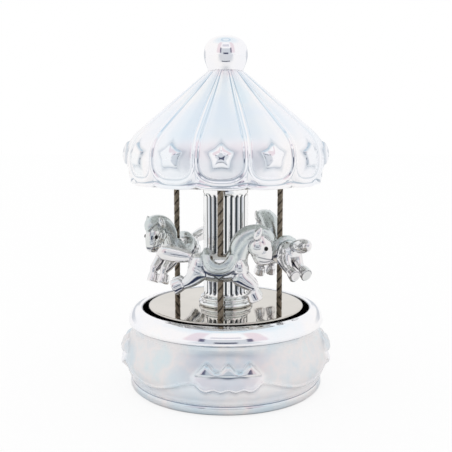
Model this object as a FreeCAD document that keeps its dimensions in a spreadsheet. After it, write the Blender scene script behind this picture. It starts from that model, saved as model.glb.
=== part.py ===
import FreeCAD, Part
import math
import os
import re
import Sketcher

# Wind-up carousel music box, in millimetres.
# Z is up, the origin is on the table under the middle of the base, and the front faces -Y.

V = FreeCAD.Vector
doc = FreeCAD.newDocument("carousel_music_box")
sheet = doc.addObject("Spreadsheet::Sheet", "Sizes")

SIZES = {
    # base casting, radii and heights of its turned outline
    "foot_radius": 43.4,
    "foot_height": 3.9,
    "foot_round": 1.0,
    "foot_lift": 0.4,
    "waist_radius": 42.8,
    "belly_radius": 46.4,
    "belly_height": 13.0,
    "belly_low_curve": 14.0,
    "belly_top_curve": 20.0,
    "brow_radius": 44.5,
    "brow_height": 21.4,
    "cove_curve": 9.0,
    "neck_radius": 42.6,
    "neck_height": 27.4,
    "shoulder_radius": 44.0,
    "shoulder_height": 29.5,
    "shoulder_curve": 7.6,
    "mouth_radius": 37.6,
    "mouth_height": 36.4,
    "lip_width": 1.2,
    "lip_depth": 2.2,
    "shell_wall": 1.4,
    "ledge_width": 2.4,
    "ledge_thick": 1.6,
    # leaf relief, four times round the belly
    "leaf_radius": 47.5,
    "leaf_middle": 17.0,
    "leaf_sink": 0.7,
    "leaf_half": 14.6,
    "leaf_foot": 12.4,
    "leaf_peak": 8.9,
    "leaf_valley": 4.6,
    "leaf_low": 12.9,
    "leaf_side": 17.0,
    "leaf_notch": 19.4,
    "leaf_peak_top": 23.6,
    "leaf_top": 24.4,
    "leaf_count": 4,
    # bottom cover with its well for the key
    "cover_radius": 41.0,
    "cover_gap": 0.2,
    "cover_thick": 2.0,
    "well_radius": 21.0,
    "well_wall": 1.5,
    "well_top": 12.4,
    "well_roof": 1.6,
    "felt_thick": 1.2,
    "felt_inside": 23.5,
    "felt_outside": 35.0,
    # screws
    "screw_gap": 0.05,
    "cover_screw": 1.1,
    "cover_screw_head": 2.2,
    "cover_screw_height": 0.9,
    "cover_screw_length": 7.0,
    "cover_screw_circle": 38.0,
    "boss_radius": 2.8,
    "boss_height": 7.0,
    "bed_screw": 1.25,
    "bed_screw_head": 2.1,
    "bed_screw_height": 1.3,
    "bed_screw_length": 3.4,
    "bed_screw_circle": 15.6,
    "comb_screw": 1.0,
    "comb_screw_head": 1.9,
    "comb_screw_height": 1.2,
    "comb_screw_length": 4.4,
    # movement bed and bearings
    "running_gap": 0.05,
    "fixed_gap": 0.02,
    "bed_thick": 2.0,
    "bed_back": 13.5,
    "bed_half": 13.5,
    "bed_front": 36.2,
    "bed_front_half": 12.2,
    "bed_step": 14.0,
    "bed_comb_side": 19.8,
    "bed_comb_end": 32.4,
    "bed_fly_side": 19.6,
    "bed_fly_end": 29.5,
    "bearing_thick": 1.0,
    "bearing_half": 3.0,
    "bearing_top": 3.0,
    "outer_bearing_thick": 1.6,
    # barrel and winding arbor
    "axle_height": 21.6,
    "barrel_low": 15.2,
    "barrel_floor": 1.6,
    "barrel_radius": 10.4,
    "barrel_wall": 0.9,
    "barrel_top": 26.9,
    "crown_outer": 13.8,
    "crown_inner": 11.2,
    "crown_teeth": 45,
    "pinion_teeth": 15,
    "cap_thick": 1.4,
    "cap_boss": 3.5,
    "cap_boss_height": 1.7,
    "post_radius": 2.0,
    "post_height": 3.5,
    "arbor_radius": 1.6,
    "arbor_low": 3.2,
    "arbor_collar": 3.0,
    "pivot_radius": 1.0,
    "pivot_height": 0.8,
    "spring_thick": 0.35,
    "spring_turns": 8,
    "spring_rim": 0.6,
    "clutch_wire": 0.25,
    "clutch_pitch": 0.6,
    "clutch_turns": 3,
    # key
    "key_stem": 3.2,
    "key_low": 2.0,
    "key_top": 9.6,
    "key_wing": 3.9,
    "key_reach": 6.3,
    "key_thick": 2.0,
    "key_eye": 1.9,
    # music cylinder, its wheel and the comb
    "cylinder_start": 15.6,
    "cylinder_length": 16.6,
    "cylinder_radius": 5.0,
    "pin_height": 0.4,
    "pin_radius": 0.2,
    "cylinder_axle": 1.0,
    "wheel_gap": 0.2,
    "wheel_thick": 1.2,
    "wheel_teeth": 45,
    "wheel_radius": 7.5,
    "comb_gap": 0.15,
    "comb_thick": 0.9,
    "comb_long": 8.6,
    "comb_short": 5.6,
    "comb_heel": 5.2,
    "comb_slot": 0.24,
    "comb_teeth": 18,
    # governor
    "idler_teeth": 15,
    "idler_axle": 0.8,
    "idler_start": 22.6,
    "worm_station": 26.0,
    "worm_wheel_teeth": 20,
    "worm_wheel_radius": 3.8,
    "worm_wheel_thick": 0.9,
    "worm_radius": 1.2,
    "worm_turns": 4,
    "fly_axle": 0.6,
    "fly_low": 14.8,
    "frame_half": 1.4,
    "frame_post": 1.8,
    "frame_back": 4.4,
    "frame_front": 2.0,
    "frame_arm": 1.5,
    "frame_top": 26.6,
    "fly_hub": 1.1,
    "fly_height": 4.2,
    "fly_reach": 4.2,
    "fly_thick": 0.5,
    # turntable and column
    "hub_radius": 7.0,
    "hub_height": 5.2,
    "disc_radius": 35.0,
    "disc_thick": 1.4,
    "rod_radius": 2.0,
    "column_radius": 10.0,
    "column_bore": 7.8,
    "column_top": 94.0,
    "capital_radius": 10.4,
    "capital_low": 87.4,
    "flute_count": 24,
    "flute_radius": 1.15,
    "flute_depth": 0.75,
    "plinth_radius": 12.3,
    "plinth_set": 0.8,
    "plinth_low": 2.2,
    "plinth_neck": 0.5,
    "plinth_bead": 1.4,
    "plinth_bead_radius": 11.5,
    "spigot_height": 2.5,
    # poles
    "pole_count": 3,
    "pole_circle": 28.0,
    "show_turn": 4.5,
    "pole_radius": 1.3,
    "pole_tenon": 0.9,
    "nut_across": 2.2,
    "nut_height": 1.4,
    "tenon_spare": 0.2,
    # canopy
    "ceiling_radius": 40.0,
    "ceiling_thick": 1.2,
    "ceiling_gap": 0.3,
    "canopy_low": 91.7,
    "canopy_top": 140.5,
    "canopy_neck": 7.6,
    "canopy_eave": 35.1,
    "canopy_eave_height": 117.0,
    "canopy_bend": 41.2,
    "canopy_bend_height": 111.3,
    "canopy_wide": 43.4,
    "canopy_wide_height": 105.5,
    "canopy_skirt": 43.4,
    "canopy_skirt_height": 99.5,
    "canopy_lip": 42.0,
    "canopy_wall": 1.7,
    "lobe_count": 13,
    "canopy_turn": 2.4,
    "lobe_swell": 0.7,
    "rib_share": 0.15,
    "rib_rise": 0.55,
    "lip_notch": 4.0,
    "lip_wave": 1.2,
    "star_radius": 5.2,
    "star_waist": 3.3,
    "star_rise": 1.7,
    "star_height": 104.6,
    "ledge_ring": 1.6,
    # finial
    "finial_top": 155.6,
    "finial_swell": 1.95,
    "finial_cap": 7.6,
    "finial_flat": 2.0,
    "finial_thread": 8.5,
    # horses
    "horse_length": 48.8,
    "horse_rise": 57.0,
    "horse_width": 10.6,
}

for row, (name, number) in enumerate(SIZES.items(), start=1):
    sheet.set(f"A{row}", name)
    sheet.set(f"B{row}", str(number))
    sheet.setAlias(f"B{row}", name)
doc.recompute()

# heights and radii that follow from the sizes above
COVER_LOW = "felt_thick"
COVER_TOP = "felt_thick + cover_thick"
SEAT_RADIUS = "cover_radius + cover_gap"
LEDGE_RADIUS = "cover_radius + cover_gap - ledge_width"
LEDGE_TOP = "felt_thick + cover_thick + ledge_thick"
WELL_CEILING = "well_top - well_roof"
BED_TOP = "well_top + bed_thick"
GEAR_RATIO = "crown_teeth / pinion_teeth"
CAP_TOP = "barrel_top + cap_thick"
BOSS_TOP = "barrel_top + cap_thick + cap_boss_height"
POST_TOP = BOSS_TOP + " + post_height"
DISC_LOW = BOSS_TOP + " + hub_height"
DISC_TOP = DISC_LOW + " + disc_thick"
CYLINDER_END = "cylinder_start + cylinder_length"
WHEEL_START = CYLINDER_END + " + wheel_gap"
WHEEL_END = WHEEL_START + " + wheel_thick"
OUTER_BEARING = WHEEL_END + " + 4 * wheel_gap"
OUTER_BEARING_END = OUTER_BEARING + " + outer_bearing_thick"
IDLER_RADIUS = "wheel_radius * idler_teeth / wheel_teeth"
IDLER_SIDE = "wheel_radius * (1 + idler_teeth / wheel_teeth)"
WORM_SIDE = IDLER_SIDE + " + worm_wheel_radius + worm_radius"
COMB_TIP = "cylinder_radius + pin_height + comb_gap"
COMB_LOW = "axle_height - comb_thick / 2"
COMB_BACK = COMB_TIP + " + comb_long + comb_heel"
CEILING_TOP = "column_top + ceiling_thick"


def formula(text):
    """The formula with each sheet name written in full."""
    def whole(word):
        return "Sizes." + word.group() if word.group() in SIZES else word.group()
    return re.sub(r"[a-z_]\w*", whole, text)


def value(text):
    return float(sheet.evalExpression(formula(text)))


def bind(item, **formulas):
    for prop, text in formulas.items():
        item.setExpression(prop, formula(text))
    return item


def place(item, x, y, z):
    for axis, text in (("x", x), ("y", y), ("z", z)):
        item.setExpression(f"Placement.Base.{axis}", formula(text))
    return item


def bent_edge(start, end, radius, side):
    """Arc from start to end; its middle is on the left with side 1, on the right with -1."""
    chord = end - start
    left = V(-chord.y, chord.x, 0).normalize()
    rise = math.sqrt(max(radius ** 2 - (chord.Length / 2) ** 2, 0.0))
    centre = (start + end) / 2 + left * side * rise
    low, high = (start, end) if side > 0 else (end, start)
    first = math.atan2(low.y - centre.y, low.x - centre.x)
    last = math.atan2(high.y - centre.y, high.x - centre.x)
    if last < first:
        last += 2 * math.pi
    return Part.ArcOfCircle(Part.Circle(centre, V(0, 0, 1), radius), first, last)


def outline(body, role, points, bends):
    """Closed sketch on an origin plane, every corner tied to the sheet.

    bends holds (radius, side) for each edge that is an arc, keyed by its first corner.
    """
    sketch = body.newObject("Sketcher::SketchObject", "outline")
    plane = [item for item in body.Origin.OriginFeatures if item.Role == role][0]
    sketch.AttachmentSupport = [(plane, "")]
    sketch.MapMode = "FlatFace"
    spots = [V(value(x), value(y), 0) for x, y in points]
    count = len(spots)
    ends = []
    for i in range(count):
        start, end = spots[i], spots[(i + 1) % count]
        if i in bends:
            radius, side = bends[i]
            sketch.addGeometry(bent_edge(start, end, value(radius), side), False)
            ends.append((1, 2) if side > 0 else (2, 1))
        else:
            sketch.addGeometry(Part.LineSegment(start, end), False)
            ends.append((1, 2))
    for i in range(count):
        j = (i + 1) % count
        sketch.addConstraint(Sketcher.Constraint("Coincident", i, ends[i][1], j, ends[j][0]))
    for i in range(count):
        across, up = points[i]
        corner = (i, ends[i][0])
        if across == "0":
            sketch.addConstraint(Sketcher.Constraint("PointOnObject", *corner, -2))
        else:
            k = sketch.addConstraint(Sketcher.Constraint("DistanceX", -1, 1, *corner, spots[i].x))
            sketch.setExpression(f"Constraints[{k}]", formula(across))
        if up == "0":
            sketch.addConstraint(Sketcher.Constraint("PointOnObject", *corner, -1))
        else:
            k = sketch.addConstraint(Sketcher.Constraint("DistanceY", -1, 1, *corner, spots[i].y))
            sketch.setExpression(f"Constraints[{k}]", formula(up))
    for i, (radius, side) in bends.items():
        k = sketch.addConstraint(Sketcher.Constraint("Radius", i, value(radius)))
        sketch.setExpression(f"Constraints[{k}]", formula(radius))
    return sketch


def turned(label, points, bends=None):
    """Body turned about Z from a closed outline of (radius, height) corners."""
    body = doc.addObject("PartDesign::Body", label)
    sketch = outline(body, "XZ_Plane", points, bends or {})
    turn = body.newObject("PartDesign::Revolution", "turn")
    turn.Profile = sketch
    turn.ReferenceAxis = (sketch, ["V_Axis"])
    turn.Angle = 360
    return body


def slab(label, role, points, length, bends=None):
    """Body raised from a closed outline on an origin plane."""
    body = doc.addObject("PartDesign::Body", label)
    sketch = outline(body, role, points, bends or {})
    pad = body.newObject("PartDesign::Pad", "raise")
    pad.Profile = sketch
    bind(pad, Length=length)
    return body


def rod(label, radius, low, high, x="0", y="0"):
    """Upright cylinder between two heights."""
    item = doc.addObject("Part::Cylinder", label)
    bind(item, Radius=radius, Height=f"({high}) - ({low})")
    return place(item, x, y, low)


def axle(label, radius, start, end, y, z):
    """Cylinder lying along X between two stations."""
    item = doc.addObject("Part::Cylinder", label)
    item.Placement = FreeCAD.Placement(V(0, 0, 0), FreeCAD.Rotation(V(0, 1, 0), 90))
    bind(item, Radius=radius, Height=f"({end}) - ({start})")
    return place(item, start, y, z)


def block(label, x, y, z):
    """Box from (low, high) formulas along each axis."""
    item = doc.addObject("Part::Box", label)
    bind(item, Length=f"({x[1]}) - ({x[0]})", Width=f"({y[1]}) - ({y[0]})", Height=f"({z[1]}) - ({z[0]})")
    return place(item, x[0], y[0], z[0])


def fuse(label, *items):
    item = doc.addObject("Part::MultiFuse", label)
    item.Shapes = list(items)
    return item


def cut(label, base, *tools):
    item = doc.addObject("Part::Cut", label)
    item.Base = base
    item.Tool = tools[0] if len(tools) == 1 else fuse("tools", *tools)
    return item


def group(label, items):
    item = doc.addObject("Part::Compound", label)
    item.Links = list(items)
    return item


def made(label, shape):
    item = doc.addObject("Part::Feature", label)
    item.Shape = shape
    return item


def around(radius, degrees):
    """X and Y formulas of a spot on a circle, the angle counted from +X."""
    return f"({radius}) * cos({degrees})", f"({radius}) * sin({degrees})"


def screw(label, shank, head, head_height, length, x, y, seat, up):
    """Headed screw; its head sits below seat when up is 1 and above it when up is -1."""
    if up > 0:
        low, joint, high = f"{seat} - ({head_height})", seat, f"{seat} + ({length})"
        parts = rod("head", head, low, joint, x, y), rod("shank", shank, joint, high, x, y)
    else:
        low, joint, high = f"{seat} - ({length})", seat, f"{seat} + ({head_height})"
        parts = rod("shank", shank, low, joint, x, y), rod("head", head, joint, high, x, y)
    return fuse(label, *parts)


def toothed(count, pitch_radius, rise, fall, share, phase):
    """Corners of a toothed wheel about the origin; a tooth is centred on the phase angle."""
    step = 2 * math.pi / count
    corners = []
    for i in range(count):
        middle = math.radians(phase) + i * step
        for radius, width in ((pitch_radius - fall, share + 0.22), (pitch_radius + rise, share - 0.2),
                              (pitch_radius + rise, 0.2 - share), (pitch_radius - fall, -share - 0.22)):
            angle = middle - width * step / 2
            corners.append((radius * math.cos(angle), radius * math.sin(angle)))
    return corners


def closed_wire(corners):
    return Part.makePolygon(corners + corners[:1])


def wheel(corners, start, thick, bore, y, z):
    """Toothed plate facing along X, with a round bore."""
    wire = closed_wire([V(start, y + a, z + b) for a, b in corners])
    plate = Part.Face(wire).extrude(V(thick, 0, 0))
    return plate.cut(Part.makeCylinder(bore, thick, V(start, y, z), V(1, 0, 0)))


# base casting
outer_shell = turned("outer_shell", [
    (SEAT_RADIUS, "foot_lift"),
    ("foot_radius - foot_round", "foot_lift"),
    ("foot_radius", "foot_lift + foot_round"),
    ("foot_radius", "foot_height"),
    ("waist_radius", "foot_height"),
    ("belly_radius", "belly_height"),
    ("brow_radius", "brow_height"),
    ("neck_radius", "neck_height"),
    ("neck_radius", "shoulder_height"),
    ("shoulder_radius", "shoulder_height"),
    ("mouth_radius + lip_width", "mouth_height"),
    ("mouth_radius", "mouth_height - lip_width"),
    ("mouth_radius", "mouth_height - lip_depth"),
    ("neck_radius - shell_wall", "shoulder_height - lip_width"),
    ("neck_radius - shell_wall", "neck_height"),
    ("brow_radius - shell_wall", "brow_height"),
    ("belly_radius - shell_wall", "belly_height"),
    ("waist_radius - shell_wall", LEDGE_TOP),
    (LEDGE_RADIUS, LEDGE_TOP),
    (LEDGE_RADIUS, COVER_TOP),
    (SEAT_RADIUS, COVER_TOP),
], {
    1: ("foot_round", 1),
    4: ("belly_low_curve", 1),
    5: ("belly_top_curve", 1),
    6: ("cove_curve", -1),
    9: ("shoulder_curve", 1),
    10: ("lip_width", 1),
    12: ("shoulder_curve - shell_wall", -1),
    14: ("cove_curve + shell_wall", 1),
    15: ("belly_top_curve - shell_wall", -1),
    16: ("belly_low_curve - shell_wall", -1),
})

leaf_band = turned("leaf_band", [
    ("belly_radius - leaf_sink - 0.2", "leaf_low - 2"),
    ("belly_radius - leaf_sink", "belly_height"),
    ("brow_radius - leaf_sink", "brow_height"),
    ("neck_radius - leaf_sink + 0.3", "leaf_top + 0.6"),
    ("leaf_radius - 1.6", "leaf_top + 0.6"),
    ("leaf_radius", "leaf_middle"),
    ("leaf_radius - 0.6", "leaf_low - 2"),
], {1: ("belly_top_curve - leaf_sink", 1), 4: ("belly_top_curve", -1), 5: ("belly_top_curve", -1)})

leaf_prism = slab("leaf_prism", "XZ_Plane", [
    ("-leaf_foot", "leaf_low"),
    ("-leaf_foot / 3", "leaf_low"),
    ("leaf_foot / 3", "leaf_low"),
    ("leaf_foot", "leaf_low"),
    ("leaf_half", "leaf_side"),
    ("leaf_peak", "leaf_peak_top"),
    ("leaf_valley", "leaf_notch"),
    ("0", "leaf_top"),
    ("-leaf_valley", "leaf_notch"),
    ("-leaf_peak", "leaf_peak_top"),
    ("-leaf_half", "leaf_side"),
], "leaf_radius + 1", {
    0: ("leaf_foot * 0.6", 1),
    1: ("leaf_foot * 0.6", 1),
    2: ("leaf_foot * 0.6", 1),
    4: ("leaf_half", -1),
    5: ("leaf_half * 0.6", -1),
    6: ("leaf_half * 0.6", -1),
    7: ("leaf_half * 0.6", -1),
    8: ("leaf_half * 0.6", -1),
    9: ("leaf_half", -1),
})
leaf_ring = leaf_prism.newObject("PartDesign::PolarPattern", "leaf_ring")
leaf_ring.Originals = [leaf_prism.Tip]
leaf_ring.Axis = ([item for item in leaf_prism.Origin.OriginFeatures if item.Role == "Z_Axis"][0], [""])
leaf_ring.Angle = 360
bind(leaf_ring, Occurrences="leaf_count")
leaf_prism.Tip = leaf_ring
leaves = doc.addObject("Part::MultiCommon", "leaves")
leaves.Shapes = [leaf_band, leaf_prism]

COVER_SCREW_ANGLES = (60, 180, 300)
bosses, boss_holes, cover_holes, cover_screw_list = [], [], [], []
for angle in COVER_SCREW_ANGLES:
    x, y = around("cover_screw_circle", angle)
    bosses.append(rod("boss", "boss_radius", COVER_TOP, COVER_TOP + " + boss_height", x, y))
    boss_holes.append(rod("boss_hole", "cover_screw + screw_gap", COVER_TOP,
                          f"{COVER_LOW} + cover_screw_length + screw_gap", x, y))
    cover_holes.append(rod("cover_hole", "cover_screw + screw_gap", COVER_LOW, COVER_TOP, x, y))
    cover_screw_list.append(screw("cover_screw", "cover_screw", "cover_screw_head", "cover_screw_height",
                                  "cover_screw_length", x, y, COVER_LOW, 1))

base_shell = cut("base_shell", fuse("cast_shell", outer_shell, leaves, *bosses), *boss_holes)
cover_screws = group("cover_screws", cover_screw_list)

# bottom cover, felt and movement bed
BED_SCREW_ANGLES = (0, 135, 225)
bed_holes, cover_bed_holes, bed_screw_list = [], [], []
for angle in BED_SCREW_ANGLES:
    x, y = around("bed_screw_circle", angle)
    bed_holes.append(rod("bed_hole", "bed_screw + screw_gap", "well_top", BED_TOP, x, y))
    cover_bed_holes.append(rod("cover_bed_hole", "bed_screw + screw_gap", WELL_CEILING, "well_top", x, y))
    bed_screw_list.append(screw("bed_screw", "bed_screw", "bed_screw_head", "bed_screw_height",
                                "bed_screw_length", x, y, WELL_CEILING, 1))
movement_screws = group("movement_screws", bed_screw_list)

cover_turned = turned("cover_turned", [
    ("key_stem + 4 * cover_gap", WELL_CEILING),
    ("well_radius", WELL_CEILING),
    ("well_radius", COVER_LOW),
    ("cover_radius", COVER_LOW),
    ("cover_radius", COVER_TOP),
    ("well_radius + well_wall", COVER_TOP),
    ("well_radius + well_wall", "well_top"),
    ("key_stem + 4 * cover_gap", "well_top"),
])
bottom_cover = cut("bottom_cover", cover_turned, *cover_holes, *cover_bed_holes)

felt_ring = turned("felt_ring", [
    ("felt_inside", "0"),
    ("felt_outside", "0"),
    ("felt_outside", "felt_thick"),
    ("felt_inside", "felt_thick"),
])

bed_plate = slab("bed_plate", "XY_Plane", [
    ("-bed_back", "-bed_half"),
    ("bed_step", "-bed_half"),
    ("bed_step", "-bed_comb_side"),
    ("bed_comb_end", "-bed_comb_side"),
    ("bed_front", "-bed_front_half"),
    ("bed_front", "bed_front_half"),
    ("bed_fly_end", "bed_fly_side"),
    ("bed_step", "bed_fly_side"),
    ("bed_step", "bed_half"),
    ("-bed_back", "bed_half"),
], "bed_thick")
bed_plate.setExpression("Placement.Base.z", formula("well_top"))
COMB_SPAN = ("cylinder_start", CYLINDER_END)
comb_seat = block("comb_seat", COMB_SPAN, (f"-({COMB_BACK})", f"-({COMB_TIP} + comb_long)"), (BED_TOP, COMB_LOW))
wheel_window = block("wheel_window", (f"{WHEEL_START} - wheel_gap", f"{WHEEL_END} + 2 * wheel_gap"),
                     ("-wheel_radius - 1", "wheel_radius + 1"), ("well_top", BED_TOP))
bed_bore = rod("bed_bore", "arbor_radius + running_gap", "well_top", BED_TOP)
COMB_SCREW_SIDE = f"-({COMB_TIP} + comb_long + comb_heel / 2)"
comb_seat_holes, comb_holes, comb_screw_list = [], [], []
for share in (0.22, 0.78):
    x = f"cylinder_start + {share} * cylinder_length"
    comb_seat_holes.append(rod("seat_hole", "comb_screw + screw_gap",
                               f"{COMB_LOW} + comb_thick - comb_screw_length - screw_gap", COMB_LOW,
                               x, COMB_SCREW_SIDE))
    comb_holes.append(rod("comb_hole", "comb_screw + screw_gap", COMB_LOW, COMB_LOW + " + comb_thick",
                          x, COMB_SCREW_SIDE))
    comb_screw_list.append(screw("comb_screw", "comb_screw", "comb_screw_head", "comb_screw_height",
                                 "comb_screw_length", x, COMB_SCREW_SIDE, COMB_LOW + " + comb_thick", -1))
bedplate = cut("bedplate", fuse("bed_solid", bed_plate, comb_seat), wheel_window, bed_bore,
               *bed_holes, *comb_seat_holes)
comb_screws = group("comb_screws", comb_screw_list)

# comb: one slot between each pair of teeth, deeper towards the long bass teeth
comb_plate = block("comb_plate", COMB_SPAN, (f"-({COMB_BACK})", f"-({COMB_TIP})"),
                   (COMB_LOW, COMB_LOW + " + comb_thick"))
comb_slots = []
for i in range(1, int(value("comb_teeth"))):
    middle = f"cylinder_start + cylinder_length * {i} / comb_teeth"
    depth = f"comb_short + (comb_long - comb_short) * (1 - {i} / comb_teeth)"
    comb_slots.append(block("comb_slot", (f"{middle} - comb_slot / 2", f"{middle} + comb_slot / 2"),
                            (f"-({COMB_TIP} + {depth})", f"-({COMB_TIP})"),
                            (COMB_LOW, COMB_LOW + " + comb_thick")))
comb = cut("comb", comb_plate, *comb_slots, *comb_holes)

# bearings standing on the bed
BEARING_TOP = "axle_height + bearing_top"
inner_bearing_start = "crown_outer + 2 * wheel_gap"
inner_bracket = cut(
    "inner_bracket",
    block("inner_plate", (inner_bearing_start, f"{inner_bearing_start} + bearing_thick"),
          ("-bearing_half", "bearing_half"), (BED_TOP, BEARING_TOP)),
    axle("inner_hole", "cylinder_axle + running_gap", inner_bearing_start,
         f"{inner_bearing_start} + bearing_thick", "0", "axle_height"))
outer_bracket = cut(
    "outer_bracket",
    block("outer_plate", (OUTER_BEARING, OUTER_BEARING_END), ("-bearing_half", f"{IDLER_SIDE} + 2"),
          (BED_TOP, BEARING_TOP)),
    axle("outer_hole", "cylinder_axle + running_gap", OUTER_BEARING, OUTER_BEARING_END, "0", "axle_height"),
    axle("idler_hole", "idler_axle + running_gap", OUTER_BEARING, OUTER_BEARING_END, IDLER_SIDE, "axle_height"))
IDLER_BEARING = ("idler_start + wheel_gap", "idler_start + wheel_gap + bearing_thick")
idler_bracket = cut(
    "idler_bracket",
    block("idler_plate", IDLER_BEARING, (f"{IDLER_SIDE} - 2", f"{IDLER_SIDE} + 2"), (BED_TOP, BEARING_TOP)),
    axle("idler_bore", "idler_axle + running_gap", *IDLER_BEARING, IDLER_SIDE, "axle_height"))

FRAME_X = ("worm_station - frame_half", "worm_station + frame_half")
FRAME_Y = (f"{WORM_SIDE} - frame_front", f"{WORM_SIDE} + frame_back")
frame_low = block("frame_low", FRAME_X, FRAME_Y, (BED_TOP, BED_TOP + " + frame_arm"))
frame_post = block("frame_post", FRAME_X, (f"{WORM_SIDE} + frame_back - frame_post", FRAME_Y[1]),
                   (BED_TOP, "frame_top"))
frame_high = block("frame_high", FRAME_X, FRAME_Y, ("frame_top - frame_arm", "frame_top"))
governor_frame = cut("governor_frame", fuse("frame_solid", frame_low, frame_post, frame_high),
                     rod("frame_bore", "fly_axle + running_gap", BED_TOP, "frame_top", "worm_station", WORM_SIDE))

# one-way clutch spring wound round the arbor under the bed
clutch_middle = value("arbor_radius + running_gap + clutch_wire")
clutch_height = value("clutch_pitch * clutch_turns")
clutch_start = value("well_top - clutch_wire - running_gap") - clutch_height
clutch_path = Part.Wire(Part.makeHelix(value("clutch_pitch"), clutch_height, clutch_middle).Edges)
clutch_wire = Part.Wire(Part.makeCircle(value("clutch_wire"), V(clutch_middle, 0, 0), V(0, 1, 0)))
clutch_spring = made("clutch_spring", clutch_path.makePipeShell([clutch_wire], True, True))
clutch_spring.Placement = FreeCAD.Placement(V(0, 0, clutch_start), FreeCAD.Rotation())

# bevel pair: both wheels shrink towards the point where their axes cross
apex = value("axle_height")
crown_outer = value("crown_outer")
pinion_radius = crown_outer / value(GEAR_RATIO)
tooth_pitch = 2 * math.pi * crown_outer / value("crown_teeth")
tooth_rise, tooth_fall, tooth_share = 0.22 * tooth_pitch, 0.32 * tooth_pitch, 0.40
shrink = value("crown_inner") / crown_outer


def shrunk(corners, station):
    """Corners of the outer bevel face carried to another station along X."""
    share = station / crown_outer
    return closed_wire([V(station, y * share, apex + z * share) for y, z in corners])


crown_tooth = []
for level, width in ((-tooth_fall - 0.25, tooth_share + 0.35), (-tooth_fall - 0.25, -tooth_share - 0.35),
                     (tooth_rise, 0.2 - tooth_share), (tooth_rise, tooth_share - 0.2)):
    crown_tooth.append((width * tooth_pitch / 2, level - pinion_radius))
tooth = Part.makeLoft([shrunk(crown_tooth, crown_outer * shrink), shrunk(crown_tooth, crown_outer)], True, True)
teeth = []
for i in range(int(value("crown_teeth"))):
    copy = tooth.copy()
    copy.rotate(V(0, 0, 0), V(0, 0, 1), 360 * i / value("crown_teeth"))
    teeth.append(copy)
crown_ring = made("crown_ring", Part.makeCompound(teeth))

ROOT_OUT = f"axle_height - crown_outer / ({GEAR_RATIO}) - {0.32 * 2 * math.pi} * crown_outer / crown_teeth"
ROOT_IN = (f"axle_height - crown_inner / ({GEAR_RATIO})"
           f" - {0.32 * 2 * math.pi} * crown_inner / crown_teeth")
barrel_cup = turned("barrel_cup", [
    ("arbor_radius + running_gap", "barrel_low"),
    ("crown_outer", "barrel_low"),
    ("crown_outer", ROOT_OUT),
    ("crown_inner", ROOT_IN),
    ("barrel_radius", ROOT_IN),
    ("barrel_radius", "barrel_top"),
    ("barrel_radius - barrel_wall", "barrel_top"),
    ("barrel_radius - barrel_wall", "barrel_low + barrel_floor"),
    ("arbor_radius + running_gap", "barrel_low + barrel_floor"),
])
spring_barrel = fuse("spring_barrel", barrel_cup, crown_ring)

barrel_cap = turned("barrel_cap", [
    ("pivot_radius + running_gap", "barrel_top"),
    ("barrel_radius", "barrel_top"),
    ("barrel_radius", CAP_TOP),
    ("cap_boss", CAP_TOP),
    ("cap_boss", BOSS_TOP),
    ("post_radius", BOSS_TOP),
    ("post_radius", POST_TOP),
    ("0", POST_TOP),
    ("0", "barrel_top + pivot_height + 2 * running_gap"),
    ("pivot_radius + running_gap", "barrel_top + pivot_height + 2 * running_gap"),
])

# mainspring: a flat strip coiled between the arbor and the barrel wall
strip = value("spring_thick")
inside = value("arbor_radius") + strip
outside = value("barrel_radius - barrel_wall - running_gap") - strip
turns = value("spring_turns")
coil_points = [[], []]
for i in range(int(turns * 12) + 1):
    share = i / int(turns * 12)
    angle = 2 * math.pi * turns * share
    for k in range(2):
        radius = inside + (outside - inside) * share + k * strip
        coil_points[k].append(V(radius * math.cos(angle), radius * math.sin(angle), 0))
sides = []
for points in coil_points:
    curve = Part.BSplineCurve()
    curve.interpolate(points)
    sides.append(curve.toShape())
ends = [Part.makeLine(coil_points[0][i], coil_points[1][i]) for i in (0, -1)]
strip_face = Part.Face(Part.Wire(Part.__sortEdges__(sides + ends)))
spring_low = value("barrel_low + barrel_floor + spring_rim")
spring_high = value("barrel_top - spring_rim")
mainspring = made("mainspring", strip_face.extrude(V(0, 0, spring_high - spring_low)))
mainspring.Placement = FreeCAD.Placement(V(0, 0, spring_low), FreeCAD.Rotation())

winding_arbor = turned("winding_arbor", [
    ("0", "arbor_low"),
    ("arbor_radius", "arbor_low"),
    ("arbor_radius", BED_TOP + " + 2 * running_gap"),
    ("arbor_collar", BED_TOP + " + 2 * running_gap"),
    ("arbor_collar", "barrel_low - 2 * running_gap"),
    ("arbor_radius", "barrel_low - 2 * running_gap"),
    ("arbor_radius", "barrel_top - spring_rim"),
    ("pivot_radius", "barrel_top - spring_rim"),
    ("pivot_radius", "barrel_top + pivot_height"),
    ("0", "barrel_top + pivot_height"),
])

# butterfly key in the well
key_stem = turned("key_stem_turned", [
    ("0", "key_low"),
    ("key_stem", "key_low"),
    ("key_stem", "key_top"),
    ("arbor_radius + fixed_gap", "key_top"),
    ("arbor_radius + fixed_gap", "arbor_low"),
    ("0", "arbor_low"),
])
KEY_MIDDLE = "(key_low + key_top) / 2"
wings, eyes = [], []
for side in (-1, 1):
    for radius, items in (("key_wing", wings), ("key_eye", eyes)):
        disc = doc.addObject("Part::Cylinder", "key_disc")
        disc.Placement = FreeCAD.Placement(V(0, 0, 0), FreeCAD.Rotation(V(1, 0, 0), 90))
        bind(disc, Radius=radius, Height="key_thick")
        items.append(place(disc, f"{side} * key_reach", "key_thick / 2", KEY_MIDDLE))
key_blank = fuse("key_blank", *wings, key_stem)
wind_key = cut("wind_key", key_blank, *eyes,
               rod("key_bore", "arbor_radius + fixed_gap", "arbor_low", "key_top"))

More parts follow.
